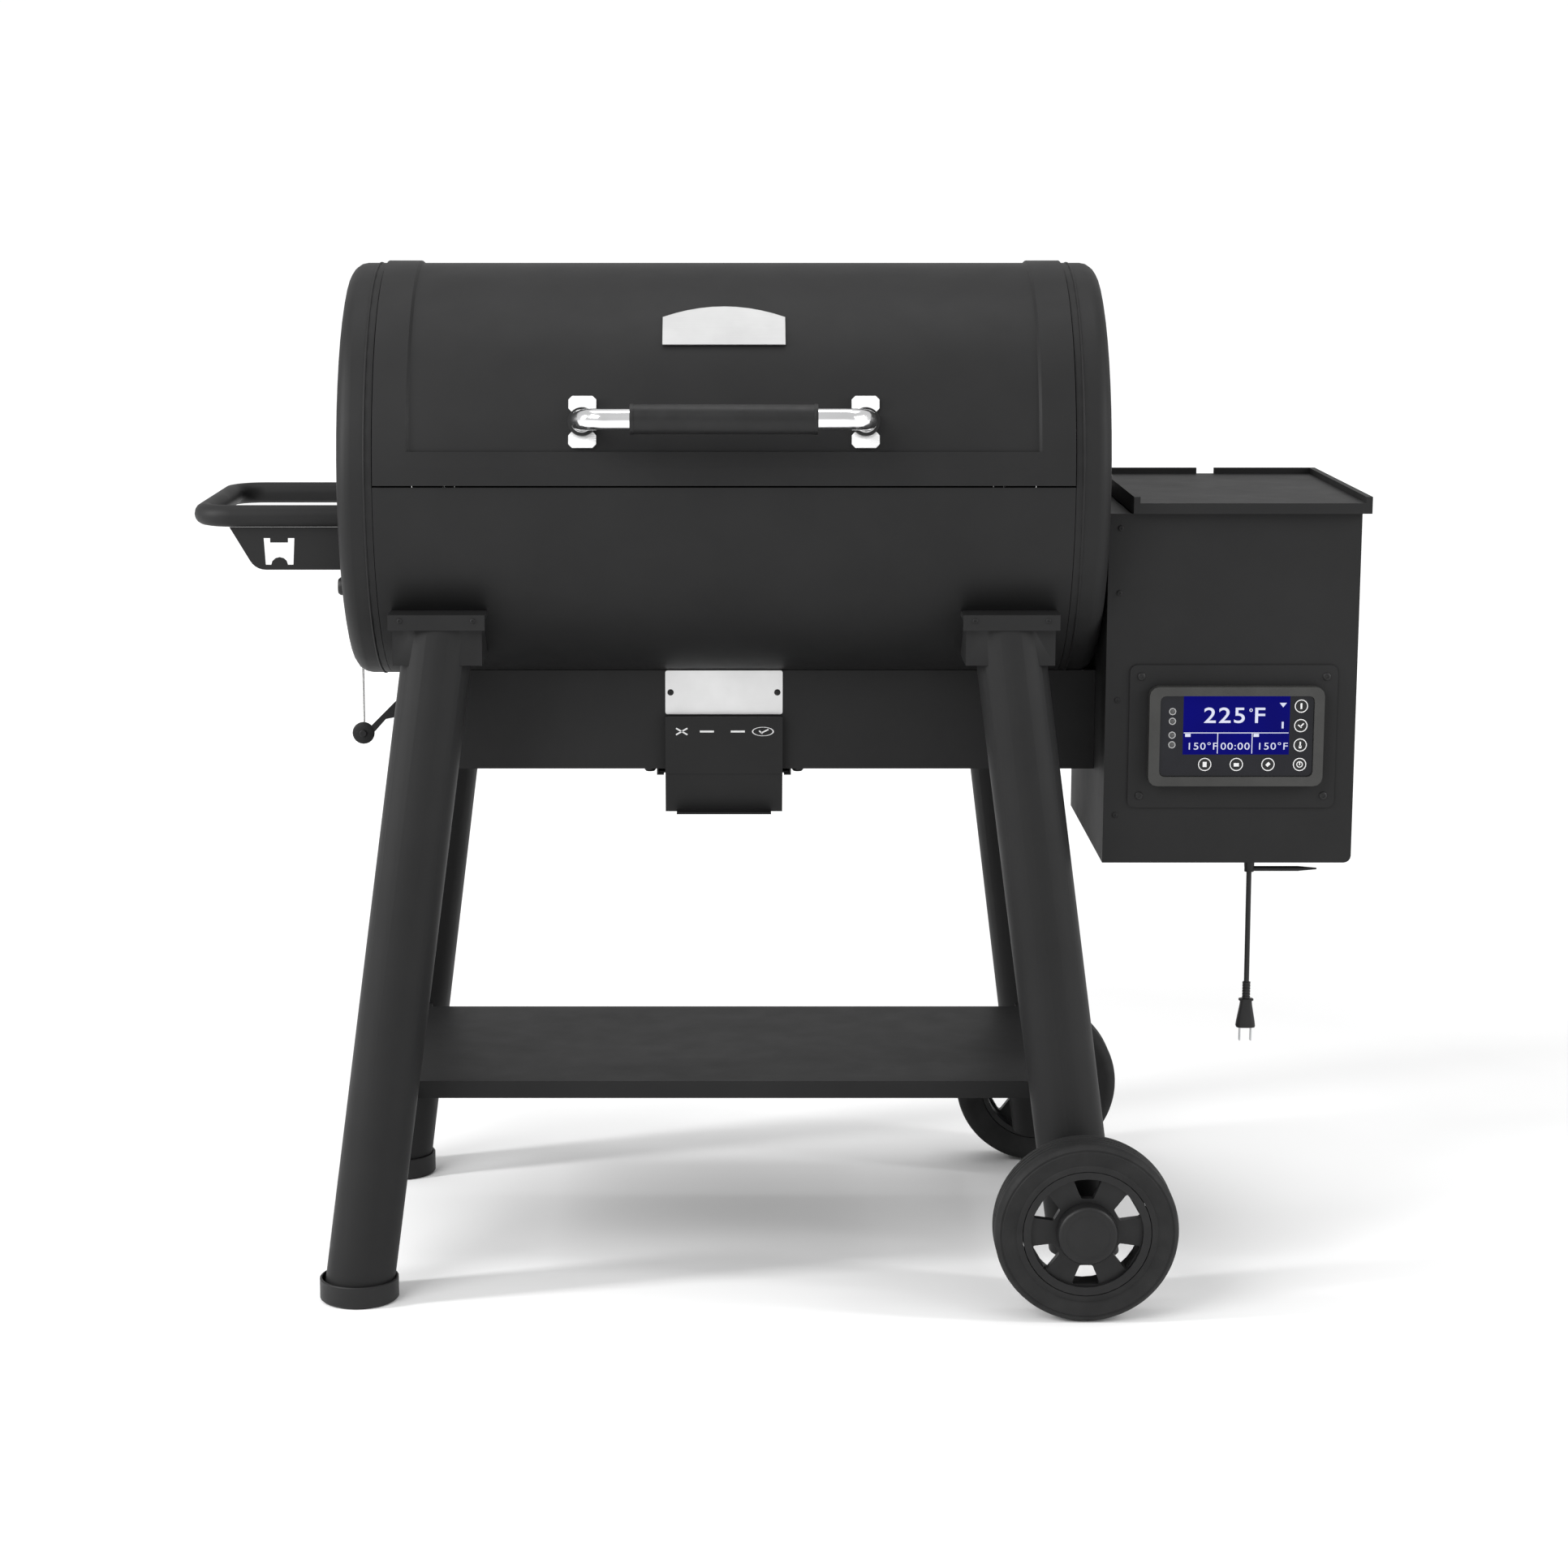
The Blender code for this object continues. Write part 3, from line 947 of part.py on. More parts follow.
# ---------------------------------------------------------------- assembly
clear_scene()
GRILL = new_collection(NAME)
WORKSHOP = new_collection("workshop")
ROOT = joint_empty("grill_middle", 0.0, 0.0, 0.0)
LID_AXIS = joint_empty("lid_axis", 0.0, HINGE_Y, BARREL_Z)
FRONT_WHEEL_AXIS = joint_empty("front_wheel_axis", AXLE_X, -WHEEL_INNER_Y - WHEEL_WIDTH / 2, WHEEL_R)
REAR_WHEEL_AXIS = joint_empty("rear_wheel_axis", AXLE_X, WHEEL_INNER_Y + WHEEL_WIDTH / 2, WHEEL_R)
HOPPER_LID_AXIS = joint_empty("hopper_lid_axis", (LID_LEFT + LID_RIGHT) / 2, *HOPPER_HINGE)
DRAWER_AXIS = joint_empty("ash_drawer_axis", 0.0, DRAWER_FRONT_Y, 0.550)
AUGER_AXIS = joint_empty("auger_axis", 0.300, 0.0, AUGER_Z)
FAN_AXIS = joint_empty("fan_axis", *FAN)

make_barrel_shell()
make_end_caps()
make_lid()
make_lid_hinge()
make_badge()
make_handle()
make_legs()
make_shelf()
make_wheels()
make_firebox_housing()
make_ash_drawer()
make_fire_pot()
make_auger()
make_fan()
make_cooking_parts()
make_side_handle()
make_bucket_hook()
make_hopper()
make_controller()
make_cord()
bpy.data.collections.remove(WORKSHOP)
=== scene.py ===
import json
import math

import bmesh
import bpy
from mathutils import Matrix, Vector


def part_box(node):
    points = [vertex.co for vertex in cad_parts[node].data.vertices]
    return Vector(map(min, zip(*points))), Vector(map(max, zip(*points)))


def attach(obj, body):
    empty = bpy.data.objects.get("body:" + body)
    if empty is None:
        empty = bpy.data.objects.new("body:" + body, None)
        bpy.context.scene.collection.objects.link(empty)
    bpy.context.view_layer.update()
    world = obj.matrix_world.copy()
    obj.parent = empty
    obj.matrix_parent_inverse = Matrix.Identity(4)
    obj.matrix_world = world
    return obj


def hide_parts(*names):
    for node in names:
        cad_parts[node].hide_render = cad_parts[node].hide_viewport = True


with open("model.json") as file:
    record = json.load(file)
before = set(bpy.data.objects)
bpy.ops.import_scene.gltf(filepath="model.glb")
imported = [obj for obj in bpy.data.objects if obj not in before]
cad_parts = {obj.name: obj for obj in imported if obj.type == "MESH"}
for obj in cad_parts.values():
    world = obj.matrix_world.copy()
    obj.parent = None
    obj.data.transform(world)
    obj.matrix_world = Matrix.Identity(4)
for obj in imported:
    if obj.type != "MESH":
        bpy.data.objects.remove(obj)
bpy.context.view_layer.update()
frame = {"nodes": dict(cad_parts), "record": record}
NODES = frame["nodes"]

SHIFT = -0.059                  # barrel middle, along X
BARREL_Z, BARREL_R = 0.9125, 0.234
PANEL_FACE = -0.1743            # front of the control plate
GLASS_FACE = -0.1836            # front of the display window
CABINET_UNDERSIDE = 0.4855
HANDLE_Y, HANDLE_Z = -0.285, 0.990
WHEEL_X, WHEEL_Y, WHEEL_R = 0.399, 0.280, 0.1015
CORD_X, CORD_Y = 0.5965, -0.130
INK = 0.00012                   # thickness of printed marks
OVERPRINT = INK * 1.5           # thickness of marks that cross others
SCREW_DOME = 0.0016
CREASE_ANGLE = math.radians(35)
BASE = "cart_and_barrel"


# ---------------------------------------------------------------- camera
def add_camera():
    """The photograph's view: slightly above the barrel, square to the front."""
    data = bpy.data.cameras.new("camera")
    data.lens = 76.4
    data.sensor_width = 36.0
    data.shift_x = 0.0383
    camera = bpy.data.objects.new("camera", data)
    camera.location = (SHIFT, -3.83, 1.25)
    camera.rotation_euler = (math.radians(79.55), 0.0, 0.0)
    bpy.context.scene.collection.objects.link(camera)
    bpy.context.scene.camera = camera


# ---------------------------------------------------------------- node helpers for materials
class Look:
    """A procedural material being wired up."""

    def __init__(self, name):
        self.material = bpy.data.materials.new(name)
        self.material.use_nodes = True
        self.nodes = self.material.node_tree.nodes
        self.links = self.material.node_tree.links
        self.shader = self.nodes["Principled BSDF"]
        self.place = self.nodes.new("ShaderNodeTexCoord").outputs["Object"]

    def set(self, **values):
        """Give shader sockets their even values; underscores in a name stand for spaces."""
        for key, value in values.items():
            self.shader.inputs[key.replace("_", " ")].default_value = value

    def noise(self, scale, detail=4.0, roughness=0.55, stretch=None):
        """Noise over the object's own space, stretched along an axis if asked."""
        node = self.nodes.new("ShaderNodeTexNoise")
        node.inputs["Scale"].default_value = scale
        node.inputs["Detail"].default_value = detail
        node.inputs["Roughness"].default_value = roughness
        source = self.place
        if stretch:
            mapping = self.nodes.new("ShaderNodeMapping")
            mapping.inputs["Scale"].default_value = stretch
            self.links.new(source, mapping.inputs["Vector"])
            source = mapping.outputs["Vector"]
        self.links.new(source, node.inputs["Vector"])
        return node.outputs["Fac"]

    def ramp(self, source, *stops):
        """Colour ramp over a grey source; each stop is (position, colour or grey)."""
        node = self.nodes.new("ShaderNodeValToRGB")
        elements = node.color_ramp.elements
        while len(elements) < len(stops):
            elements.new(0.5)
        for element, (position, tone) in zip(elements, stops):
            element.position = position
            colour = tone if hasattr(tone, "__len__") else (tone, tone, tone)
            element.color = (*colour, 1.0)
        self.links.new(source, node.inputs["Fac"])
        return node.outputs["Color"]

    def colour(self, source):
        self.links.new(source, self.shader.inputs["Base Color"])

    def rough(self, source):
        self.links.new(source, self.shader.inputs["Roughness"])

    def bump(self, *layers):
        """Stack bump layers of (height source, strength, distance)."""
        previous = None
        for height, strength, distance in layers:
            node = self.nodes.new("ShaderNodeBump")
            node.inputs["Strength"].default_value = strength
            node.inputs["Distance"].default_value = distance
            self.links.new(height, node.inputs["Height"])
            if previous:
                self.links.new(previous, node.inputs["Normal"])
            previous = node.outputs["Normal"]
        self.links.new(previous, self.shader.inputs["Normal"])


def powder_coat():
    """Fine orange-peel black powder coat, a little cloudier in some places than in others."""
    look = Look("powder_coat_black")
    look.set(Metallic=0.0, IOR=1.5, Specular_IOR_Level=0.15)
    clouds = look.noise(9.0, 5.0)
    look.colour(look.ramp(clouds, (0.30, (0.0112, 0.0112, 0.0114)), (0.75, (0.0140, 0.0140, 0.0142))))
    look.rough(look.ramp(look.noise(22.0, 6.0), (0.25, 0.50), (0.80, 0.58)))
    look.bump((look.noise(1100.0, 2.0), 0.09, 0.0003), (look.noise(320.0, 3.0), 0.06, 0.0005))
    return look.material


def moulded_plastic(name, dark, light, low_rough, high_rough):
    """Finely grained moulded plastic."""
    look = Look(name)
    look.set(Metallic=0.0, IOR=1.46, Specular_IOR_Level=0.32)
    look.colour(look.ramp(look.noise(35.0, 4.0), (0.3, dark), (0.75, light)))
    look.rough(look.ramp(look.noise(60.0, 4.0), (0.3, low_rough), (0.75, high_rough)))
    look.bump((look.noise(1400.0, 2.0), 0.16, 0.0003))
    return look.material


def rubber():
    """Tyre compound: matt, with a bloom of grey and small pits."""
    look = Look("tyre_compound")
    look.set(Metallic=0.0, IOR=1.45, Specular_IOR_Level=0.30)
    bloom = look.noise(30.0, 6.0)
    look.colour(look.ramp(bloom, (0.35, (0.0085, 0.0085, 0.0087)), (0.75, (0.0140, 0.0140, 0.0140))))
    look.rough(look.ramp(look.noise(45.0, 4.0), (0.3, 0.62), (0.8, 0.80)))
    look.bump((look.noise(700.0, 3.0), 0.30, 0.0004))
    return look.material


def plated(name, tone, low_rough, high_rough, stretch, grain, strength, metallic=1.0):
    """Metal with a grain, drawn out along X by its stretch, and cloudy patches."""
    look = Look(name)
    look.set(Metallic=metallic)
    lines = look.noise(grain, 6.0, 0.7, stretch)
    clouds = look.noise(12.0, 4.0)
    darker = tuple(channel * 0.86 for channel in tone)
    look.colour(look.ramp(clouds, (0.3, darker), (0.7, tone)))
    look.rough(look.ramp(lines, (0.3, low_rough), (0.7, high_rough)))
    look.bump((lines, strength, 0.0002))
    return look.material


def cast_iron():
    """Seasoned cast iron: coarse sand-cast grain with a dull oil sheen."""
    look = Look("seasoned_cast_iron")
    look.set(Metallic=0.35)
    oil = look.noise(40.0, 6.0)
    look.colour(look.ramp(oil, (0.3, (0.018, 0.017, 0.016)), (0.8, (0.050, 0.045, 0.040))))
    look.rough(look.ramp(look.noise(90.0, 4.0), (0.3, 0.42), (0.8, 0.70)))
    look.bump((look.noise(420.0, 5.0), 0.5, 0.0008))
    return look.material


def display_lens():
    """Smoked lens, almost black, with faint finger haze."""
    look = Look("smoked_lens")
    look.set(Metallic=0.0, IOR=1.45, Specular_IOR_Level=0.25)
    smoke = look.noise(20.0, 3.0)
    look.colour(look.ramp(smoke, (0.3, (0.0040, 0.0042, 0.0065)), (0.8, (0.0065, 0.0068, 0.0100))))
    look.rough(look.ramp(look.noise(55.0, 5.0), (0.3, 0.10), (0.8, 0.22)))
    return look.material


def printed(name, tone):
    """Screen-printed ink, slightly uneven."""
    look = Look(name)
    look.set(Metallic=0.0)
    dull = tuple(channel * 0.85 for channel in tone)
    look.colour(look.ramp(look.noise(300.0, 3.0), (0.3, dull), (0.7, tone)))
    look.set(Roughness=0.5)
    return look.material


def glowing(name, tone, dim):
    """A lit surface whose brightness drifts a little."""
    look = Look(name)
    look.set(Roughness=0.25, Specular_IOR_Level=0.02, Emission_Strength=1.0,
             Base_Color=(0.002, 0.002, 0.004, 1.0))
    glow = look.ramp(look.noise(14.0, 2.0), (0.25, dim), (0.75, tone))
    look.links.new(glow, look.shader.inputs["Emission Color"])
    return look.material


EVEN, ROLLED, BRUSHED = (1.0, 1.0, 1.0), (1.0, 30.0, 30.0), (1.0, 40.0, 40.0)   # stretches of a metal's grain
LOOKS = {
    "black_enamel": powder_coat(),
    "black_plastic": moulded_plastic("moulded_black", (0.0070, 0.0070, 0.0072), (0.0100, 0.0100, 0.0103),
                                     0.40, 0.54),
    "grey_plastic": moulded_plastic("moulded_grey", (0.028, 0.028, 0.0268), (0.036, 0.036, 0.0345),
                                    0.36, 0.50),
    "tyre_rubber": rubber(),
    "chrome": plated("polished_chrome", (0.90, 0.90, 0.91), 0.10, 0.18, EVEN, 60.0, 0.02),
    "stainless": plated("brushed_stainless", (0.88, 0.88, 0.87), 0.24, 0.36, BRUSHED, 30.0, 0.10),
    "aluminium": plated("rolled_aluminium", (0.46, 0.46, 0.465), 0.40, 0.54, ROLLED, 30.0, 0.10),
    "cast_iron": cast_iron(),
    "zinc_steel": plated("zinc_plate", (0.46, 0.47, 0.48), 0.28, 0.42, EVEN, 80.0, 0.08),
    "display_glass": display_lens(),
    "bright_plate": plated("bright_plate", (0.95, 0.95, 0.95), 0.20, 0.32, ROLLED, 30.0, 0.05, 0.45),
    "label_plate": plated("label_plate", (0.66, 0.66, 0.66), 0.34, 0.46, BRUSHED, 30.0, 0.06),
    "badge_plate": plated("badge_plate", (0.44, 0.44, 0.44), 0.46, 0.56, BRUSHED, 30.0, 0.06),
}
INK_WHITE = printed("ink_white", (0.62, 0.62, 0.62))
INK_GREY = printed("ink_grey", (0.30, 0.30, 0.30))
INK_DARK = printed("ink_dark", (0.05, 0.05, 0.05))
SCREEN_BLUE = glowing("screen_blue", (0.0003, 0.0003, 0.165), (0.0002, 0.0002, 0.130))
SCREEN_TEXT = glowing("screen_text", (0.80, 0.82, 0.95), (0.70, 0.74, 0.92))
OWN_LOOKS = {   # nodes whose look differs from their slot's
    "front_shield_plate": "label_plate",
    "lid_badge": "badge_plate",
    "handle_plate_left": "bright_plate",
    "handle_plate_right": "bright_plate",
}


def smooth_shading(node):
    """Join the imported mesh's loose corners, keep its creases and even out the shading between them."""
    node.modifiers.new("joined_corners", "WELD").merge_threshold = 1e-5
    node.modifiers.new("creases", "EDGE_SPLIT").split_angle = CREASE_ANGLE
    node.modifiers.new("even_normals", "WEIGHTED_NORMAL")


def dress_cad():
    """Give every CAD node the look of its slot and smooth shading."""
    slots = {entry["node"]: entry["material_slot"] for entry in frame["record"]["subparts"]}
    for name, node in NODES.items():
        node.data.materials.clear()
        node.data.materials.append(LOOKS[OWN_LOOKS.get(name, slots[name])])
        smooth_shading(node)


# ---------------------------------------------------------------- piece helpers
def new_piece(name, bm, look, body):
    """Make a piece of a bmesh, shade it, and let it ride."""
    bmesh.ops.recalc_face_normals(bm, faces=bm.faces)
    mesh = bpy.data.meshes.new(name)
    bm.to_mesh(mesh)
    bm.free()
    piece = bpy.data.objects.new(name, mesh)
    bpy.context.scene.collection.objects.link(piece)
    mesh.materials.append(look)
    mesh.shade_smooth()
    mesh.set_sharp_from_angle(angle=math.radians(40))
    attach(piece, body)
    return piece


def facing(origin, axis):
    """Matrix with local Z along the axis."""
    return Matrix.Translation(Vector(origin)) @ Vector(axis).to_track_quat("Z", "X").to_matrix().to_4x4()


def turn(count):
    """Angles of equal steps round a full turn."""
    return [2 * math.pi * k / count for k in range(count)]


def circle(bm, radius, height, matrix, segments):
    """New vertices round a circle at a height on the matrix's axis."""
    return [bm.verts.new(matrix @ Vector((radius * math.cos(a), radius * math.sin(a), height)))
            for a in turn(segments)]


def bridge(bm, loops):
    """Join each loop of vertices to the next with a band of faces."""
    for lower, upper in zip(loops, loops[1:]):
        for k in range(len(lower)):
            after = (k + 1) % len(lower)
            bm.faces.new((lower[k], lower[after], upper[after], upper[k]))


def lathe(bm, profile, matrix, segments):
    """Add a turned solid: (radius, height) points, closed on the axis at both ends."""
    rings = []
    for radius, height in profile:
        if radius < 1e-6:
            rings.append([bm.verts.new(matrix @ Vector((0.0, 0.0, height)))])
        else:
            rings.append(circle(bm, radius, height, matrix, segments))
    for lower, upper in zip(rings, rings[1:]):
        for k in range(segments):
            corners = [lower[k % len(lower)], lower[(k + 1) % len(lower)],
                       upper[(k + 1) % len(upper)], upper[k % len(upper)]]
            bm.faces.new(list(dict.fromkeys(corners)))


SCREW_PROFILE = ((0.0, 0.0), (1.0, 0.0), (1.0, 0.35), (0.92, 0.70), (0.70, 0.95), (0.45, 1.0), (0.42, 0.55),
                 (0.0, 0.50))      # shares of the head's radius and height
FASTENER_SEGMENTS = 20


def screw_head(bm, origin, axis, radius, height):
    """A pan-head screw or rivet, dished in its middle."""
    dome = [(radius * across, height * up) for across, up in SCREW_PROFILE]
    lathe(bm, dome, facing(origin, axis), FASTENER_SEGMENTS)


def block(bm, low, high):
    """Add a block between two corners."""
    low, high = Vector(low), Vector(high)
    placed = Matrix.Translation((low + high) / 2) @ Matrix.Diagonal((*(high - low), 1.0))
    bmesh.ops.create_cube(bm, size=1.0, matrix=placed)


# ---------------------------------------------------------------- detail pieces
def at(x, y, z):
    """A point measured from the barrel's middle, in the frame."""
    return Vector((x + SHIFT, y, z))


def disc_screws(name, places, axis, look, body, radius, height=SCREW_DOME):
    """One piece holding a set of equal screw heads."""
    bm = bmesh.new()
    for x, y, z in places:
        screw_head(bm, at(x, y, z), axis, radius, height)
    return new_piece(name, bm, look, body)


def add_fasteners():
    """Screws and rivets on the cabinet, the control plate, the shield plate and the drawer rails."""
    enamel, dark = LOOKS["black_enamel"], LOOKS["black_plastic"]
    corners = [(0.4637, PANEL_FACE, 0.697), (0.6696, PANEL_FACE, 0.697),
               (0.4637, PANEL_FACE, 0.5625), (0.6696, PANEL_FACE, 0.5625)]
    disc_screws("control_plate_screws", corners, (0, -1, 0), dark, BASE, 0.0045)
    edge = [(0.4375, -0.172, z) for z in (0.862, 0.790, 0.670, 0.540)]
    disc_screws("cabinet_edge_screws", edge, (0, -1, 0), enamel, BASE, 0.0032)
    under = [(x, y, CABINET_UNDERSIDE) for x in (0.487, 0.6536) for y in (-0.150, 0.150)]
    disc_screws("cabinet_foot_screws", under, (0, 0, -1), dark, BASE, 0.0048, 0.0026)
    plate = [(x, -0.0715, 0.66325) for x in (-0.0610, 0.0610)]
    disc_screws("shield_plate_rivets", plate, (0, -1, 0), dark, BASE, 0.0036)
    rails = [(x, y, 0.5745) for x in (-0.0850, 0.0850) for y in (-0.048, 0.048)]
    disc_screws("rail_dome_nuts", rails, (0, 0, -1), dark, BASE, 0.0070, 0.0066)
    saddles = [(side * 0.314 + offset, -0.2300, 0.7665) for side in (-1, 1) for offset in (-0.040, 0.040)]
    back = [(x, 0.2300, z) for x, _, z in saddles]
    disc_screws("front_saddle_bolts", saddles, (0, -1, 0), enamel, BASE, 0.0030, 0.0012)
    disc_screws("rear_saddle_bolts", back, (0, 1, 0), enamel, BASE, 0.0030, 0.0012)
    hinge = [(x, 0.2375, 0.8830) for x in (-0.250, -0.120, 0.0, 0.120, 0.250)]
    disc_screws("hinge_screws", hinge, (0, 1, 0), LOOKS["zinc_steel"], BASE, 0.0045, 0.0022)


def ring(name, profile, origin, axis, body, slot, segments):
    """A closed turned ring of (radius, height) points, in its slot's look."""
    matrix = facing(origin, axis)
    bm = bmesh.new()
    loops = [circle(bm, radius, height, matrix, segments) for radius, height in profile]
    bridge(bm, loops + loops[:1])
    return new_piece(name, bm, LOOKS[slot], body)


def round_section(middle, height, radius, sides):
    """Closed circle of (radius, height) points for a wire ring."""
    return [(middle + radius * math.cos(a), height + radius * math.sin(a)) for a in turn(sides)]


def add_end_cap_trim():
    """Rolled bead beside each cap's seam, rail flanges and the probe grommet on the left cap."""
    for name, side in (("left_cap_bead", -1), ("right_cap_bead", 1)):
        section = round_section(BARREL_R - 0.0004, 0.0085, 0.0014, 10)
        ring(name, section, at(side * 0.381, 0, BARREL_Z), (side, 0, 0), BASE, "black_enamel", 128)
    cap_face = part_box("left_end_cap")[0].x - SHIFT
    flange = [(0.0128, 0.0), (0.0190, 0.0), (0.0190, 0.0018), (0.0175, 0.0030), (0.0128, 0.0030)]
    for name, y in (("front_rail_flange", -0.1376), ("rear_rail_flange", 0.1376)):
        ring(name, flange, at(cap_face + 0.0009, y, 0.872), (-1, 0, 0), BASE, "black_enamel", 40)
    grommet = [(0.0035, 0.0), (0.0100, 0.0), (0.0100, 0.0035), (0.0080, 0.0060), (0.0035, 0.0060)]
    grommet_place = at(cap_face + 0.0013, -0.150, 0.795)
    ring("probe_grommet", grommet, grommet_place, (-1, 0, 0), BASE, "black_plastic", 32)


def add_handle_collars():
    """Dark sleeves where the handle's tube meets its plates, and a ring at each end of the grip."""
    inward = Vector((0.0, 0.9931, -0.1168))
    sleeve = [(0.0118, 0.0), (0.0152, 0.0), (0.0156, 0.0020), (0.0156, 0.0085), (0.0118, 0.0085)]
    for side in ("left", "right"):
        low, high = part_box("handle_plate_" + side)
        start = Vector(((low.x + high.x) / 2, -0.2372, 0.98405))
        ring(side + "_handle_sleeve", sleeve, start, inward, "lid", "black_plastic", 40)
    section = [(0.0119, -0.0020), (0.0163, -0.0020), (0.0167, 0.0), (0.0163, 0.0020), (0.0119, 0.0020)]
    for name, side in (("left_grip_ring", -1), ("right_grip_ring", 1)):
        place = at(side * 0.0980, HANDLE_Y, HANDLE_Z)
        ring(name, section, place, (side, 0, 0), "lid", "black_plastic", 40)


TYRE_SHOULDER = [(0.0712, 0.0015), (0.0712, 0.0485), (0.0760, 0.0492), (0.0780, 0.0480), (0.0890, 0.0500),
                 (0.0930, 0.0500), (0.0940, 0.0489), (0.0952, 0.0489), (0.0962, 0.0493), (0.0990, 0.0470),
                 (0.1008, 0.0440), (WHEEL_R, 0.0405)]
TYRE_GROOVES = (0.0330, 0.0250, 0.0170)
GROOVE_R = 0.0998
TYRE_BACK = [(WHEEL_R, 0.0095), (0.1008, 0.0060), (0.0990, 0.0030), (0.0930, 0.0000), (0.0890, 0.0000)]
HUB_PROFILE = [(0.0, 0.0575), (0.0210, 0.0575), (0.0230, 0.0568), (0.0245, 0.0568), (0.0265, 0.0578),
               (0.0300, 0.0578), (0.0322, 0.0562), (0.0332, 0.0540), (0.0332, 0.0405), (0.0, 0.0405)]
RIM_LIP = [(0.0615, 0.0395), (0.0700, 0.0478), (0.0706, 0.0470), (0.0706, 0.0460), (0.0635, 0.0395)]


def tyre_profile():
    """Section of the tyre as (radius, height) points: shoulder, grooved tread and back."""
    profile = list(TYRE_SHOULDER)
    for groove in TYRE_GROOVES:
        profile += [(WHEEL_R, groove + 0.0014), (GROOVE_R, groove + 0.0008), (GROOVE_R, groove - 0.0008),
                    (WHEEL_R, groove - 0.0014)]
    return profile + TYRE_BACK


def add_wheels():
    """Moulded tyres with a ribbed tread, and stepped hub caps, in place of the plain ones."""
    for name, end in (("front", -1), ("rear", 1)):
        origin = at(WHEEL_X, end * WHEEL_Y, WHEEL_R)
        axis, body = (0, end, 0), name + "_wheel"
        tyre = ring(name + "_tyre_moulded", tyre_profile(), origin, axis, body, "tyre_rubber", 128)
        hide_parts(name + "_tyre")
        bm = bmesh.new()
        lathe(bm, HUB_PROFILE, facing(origin, axis), 64)
        hub = new_piece(name + "_hub_cap_stepped", bm, LOOKS["black_plastic"], body)
        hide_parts(name + "_hub_cap")
        ring(name + "_rim_lip", RIM_LIP, origin, axis, body, "black_plastic", 96)


def flat_shape(bm, outline, y, thickness):
    """Add a flat printed shape standing at depth y: (x, z) points from the barrel's middle."""
    front = [bm.verts.new(at(x, y - thickness, z)) for x, z in outline]
    back = [bm.verts.new(at(x, y, z)) for x, z in outline]
    bm.faces.new(front)
    bm.faces.new(list(reversed(back)))
    for k in range(len(outline)):
        after = (k + 1) % len(outline)
        bm.faces.new((front[k], back[k], back[after], front[after]))


def rectangle(x, z, width, height, tilt=0.0):
    """Corners of a tilted rectangle about its middle."""
    corners = ((-1, -1), (1, -1), (1, 1), (-1, 1))
    cosine, sine = math.cos(tilt), math.sin(tilt)
    points = [(sx * width / 2, sz * height / 2) for sx, sz in corners]
    return [(x + px * cosine - pz * sine, z + px * sine + pz * cosine) for px, pz in points]


def flat_ring(bm, x, z, radius, width, y, squeeze=1.0, segments=32):
    """Add a flat printed ring, squeezed to an oval if asked."""
    inner = radius - width
    rows = []
    for r, depth in ((radius, y), (radius, y - INK), (inner, y - INK), (inner, y)):
        rows.append([bm.verts.new(at(x + r * math.cos(a), depth, z + r * squeeze * math.sin(a)))
                     for a in turn(segments)])
    bridge(bm, rows + rows[:1])


def lettering(name, text, x, z, size, weight=0.0):
    """Generic lit figures on the display, as a mesh, a little wider than the plain font."""
    curve = bpy.data.curves.new(name, "FONT")
    curve.body = text
    curve.size = size
    curve.extrude = INK / 2
    curve.offset = weight
    curve.space_character = 1.12
    curve.resolution_u = 6
    curve.align_x, curve.align_y = "CENTER", "CENTER"
    maker = bpy.data.objects.new(name + "_maker", curve)
    bpy.context.scene.collection.objects.link(maker)
    place = Matrix.Translation(at(x, SCREEN_FACE - INK / 2, z))
    maker.matrix_world = place @ Matrix.Rotation(math.radians(90), 4, "X") @ Matrix.Diagonal(FONT_STRETCH)
    bpy.context.view_layer.update()
    mesh = bpy.data.meshes.new_from_object(maker.evaluated_get(bpy.context.evaluated_depsgraph_get()))
    mesh.transform(maker.matrix_world)
    bpy.data.objects.remove(maker, do_unlink=True)
    mesh.materials.clear()
    mesh.materials.append(SCREEN_TEXT)
    piece = bpy.data.objects.new(name, mesh)
    bpy.context.scene.collection.objects.link(piece)
    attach(piece, BASE)


SCREEN_FACE = GLASS_FACE - INK
FONT_STRETCH = (1.20, 1.0, 1.0, 1.0)
LARGE_Z, LARGE_SIZE, LARGE_WEIGHT = 0.6540, 0.0245, 0.0002
SMALL_Z, SMALL_SIZE = 0.6198, 0.0112
SMALL_FIGURES = (("left", "150°F", 0.5316), ("middle", "00:00", 0.5684), ("right", "150°F", 0.6098))
SCREEN_BARS = (     # X, Z, width and height: dividing lines, then small bars
    (0.56915, 0.6352, 0.1165, 0.0009), (0.5487, 0.6235, 0.0009, 0.0230), (0.5870, 0.6235, 0.0009, 0.0230),
    (0.6205, 0.6440, 0.0022, 0.0075), (0.5155, 0.6325, 0.0060, 0.0035), (0.5915, 0.6325, 0.0060, 0.0035),
)
LAMP_X, LAMP_HEIGHTS = 0.4980, (0.6592, 0.6483, 0.6327, 0.6218)
LAMP_PROFILE = [(0.0, 0.0), (0.0024, 0.0), (0.0019, 0.0005), (0.0, 0.0007)]


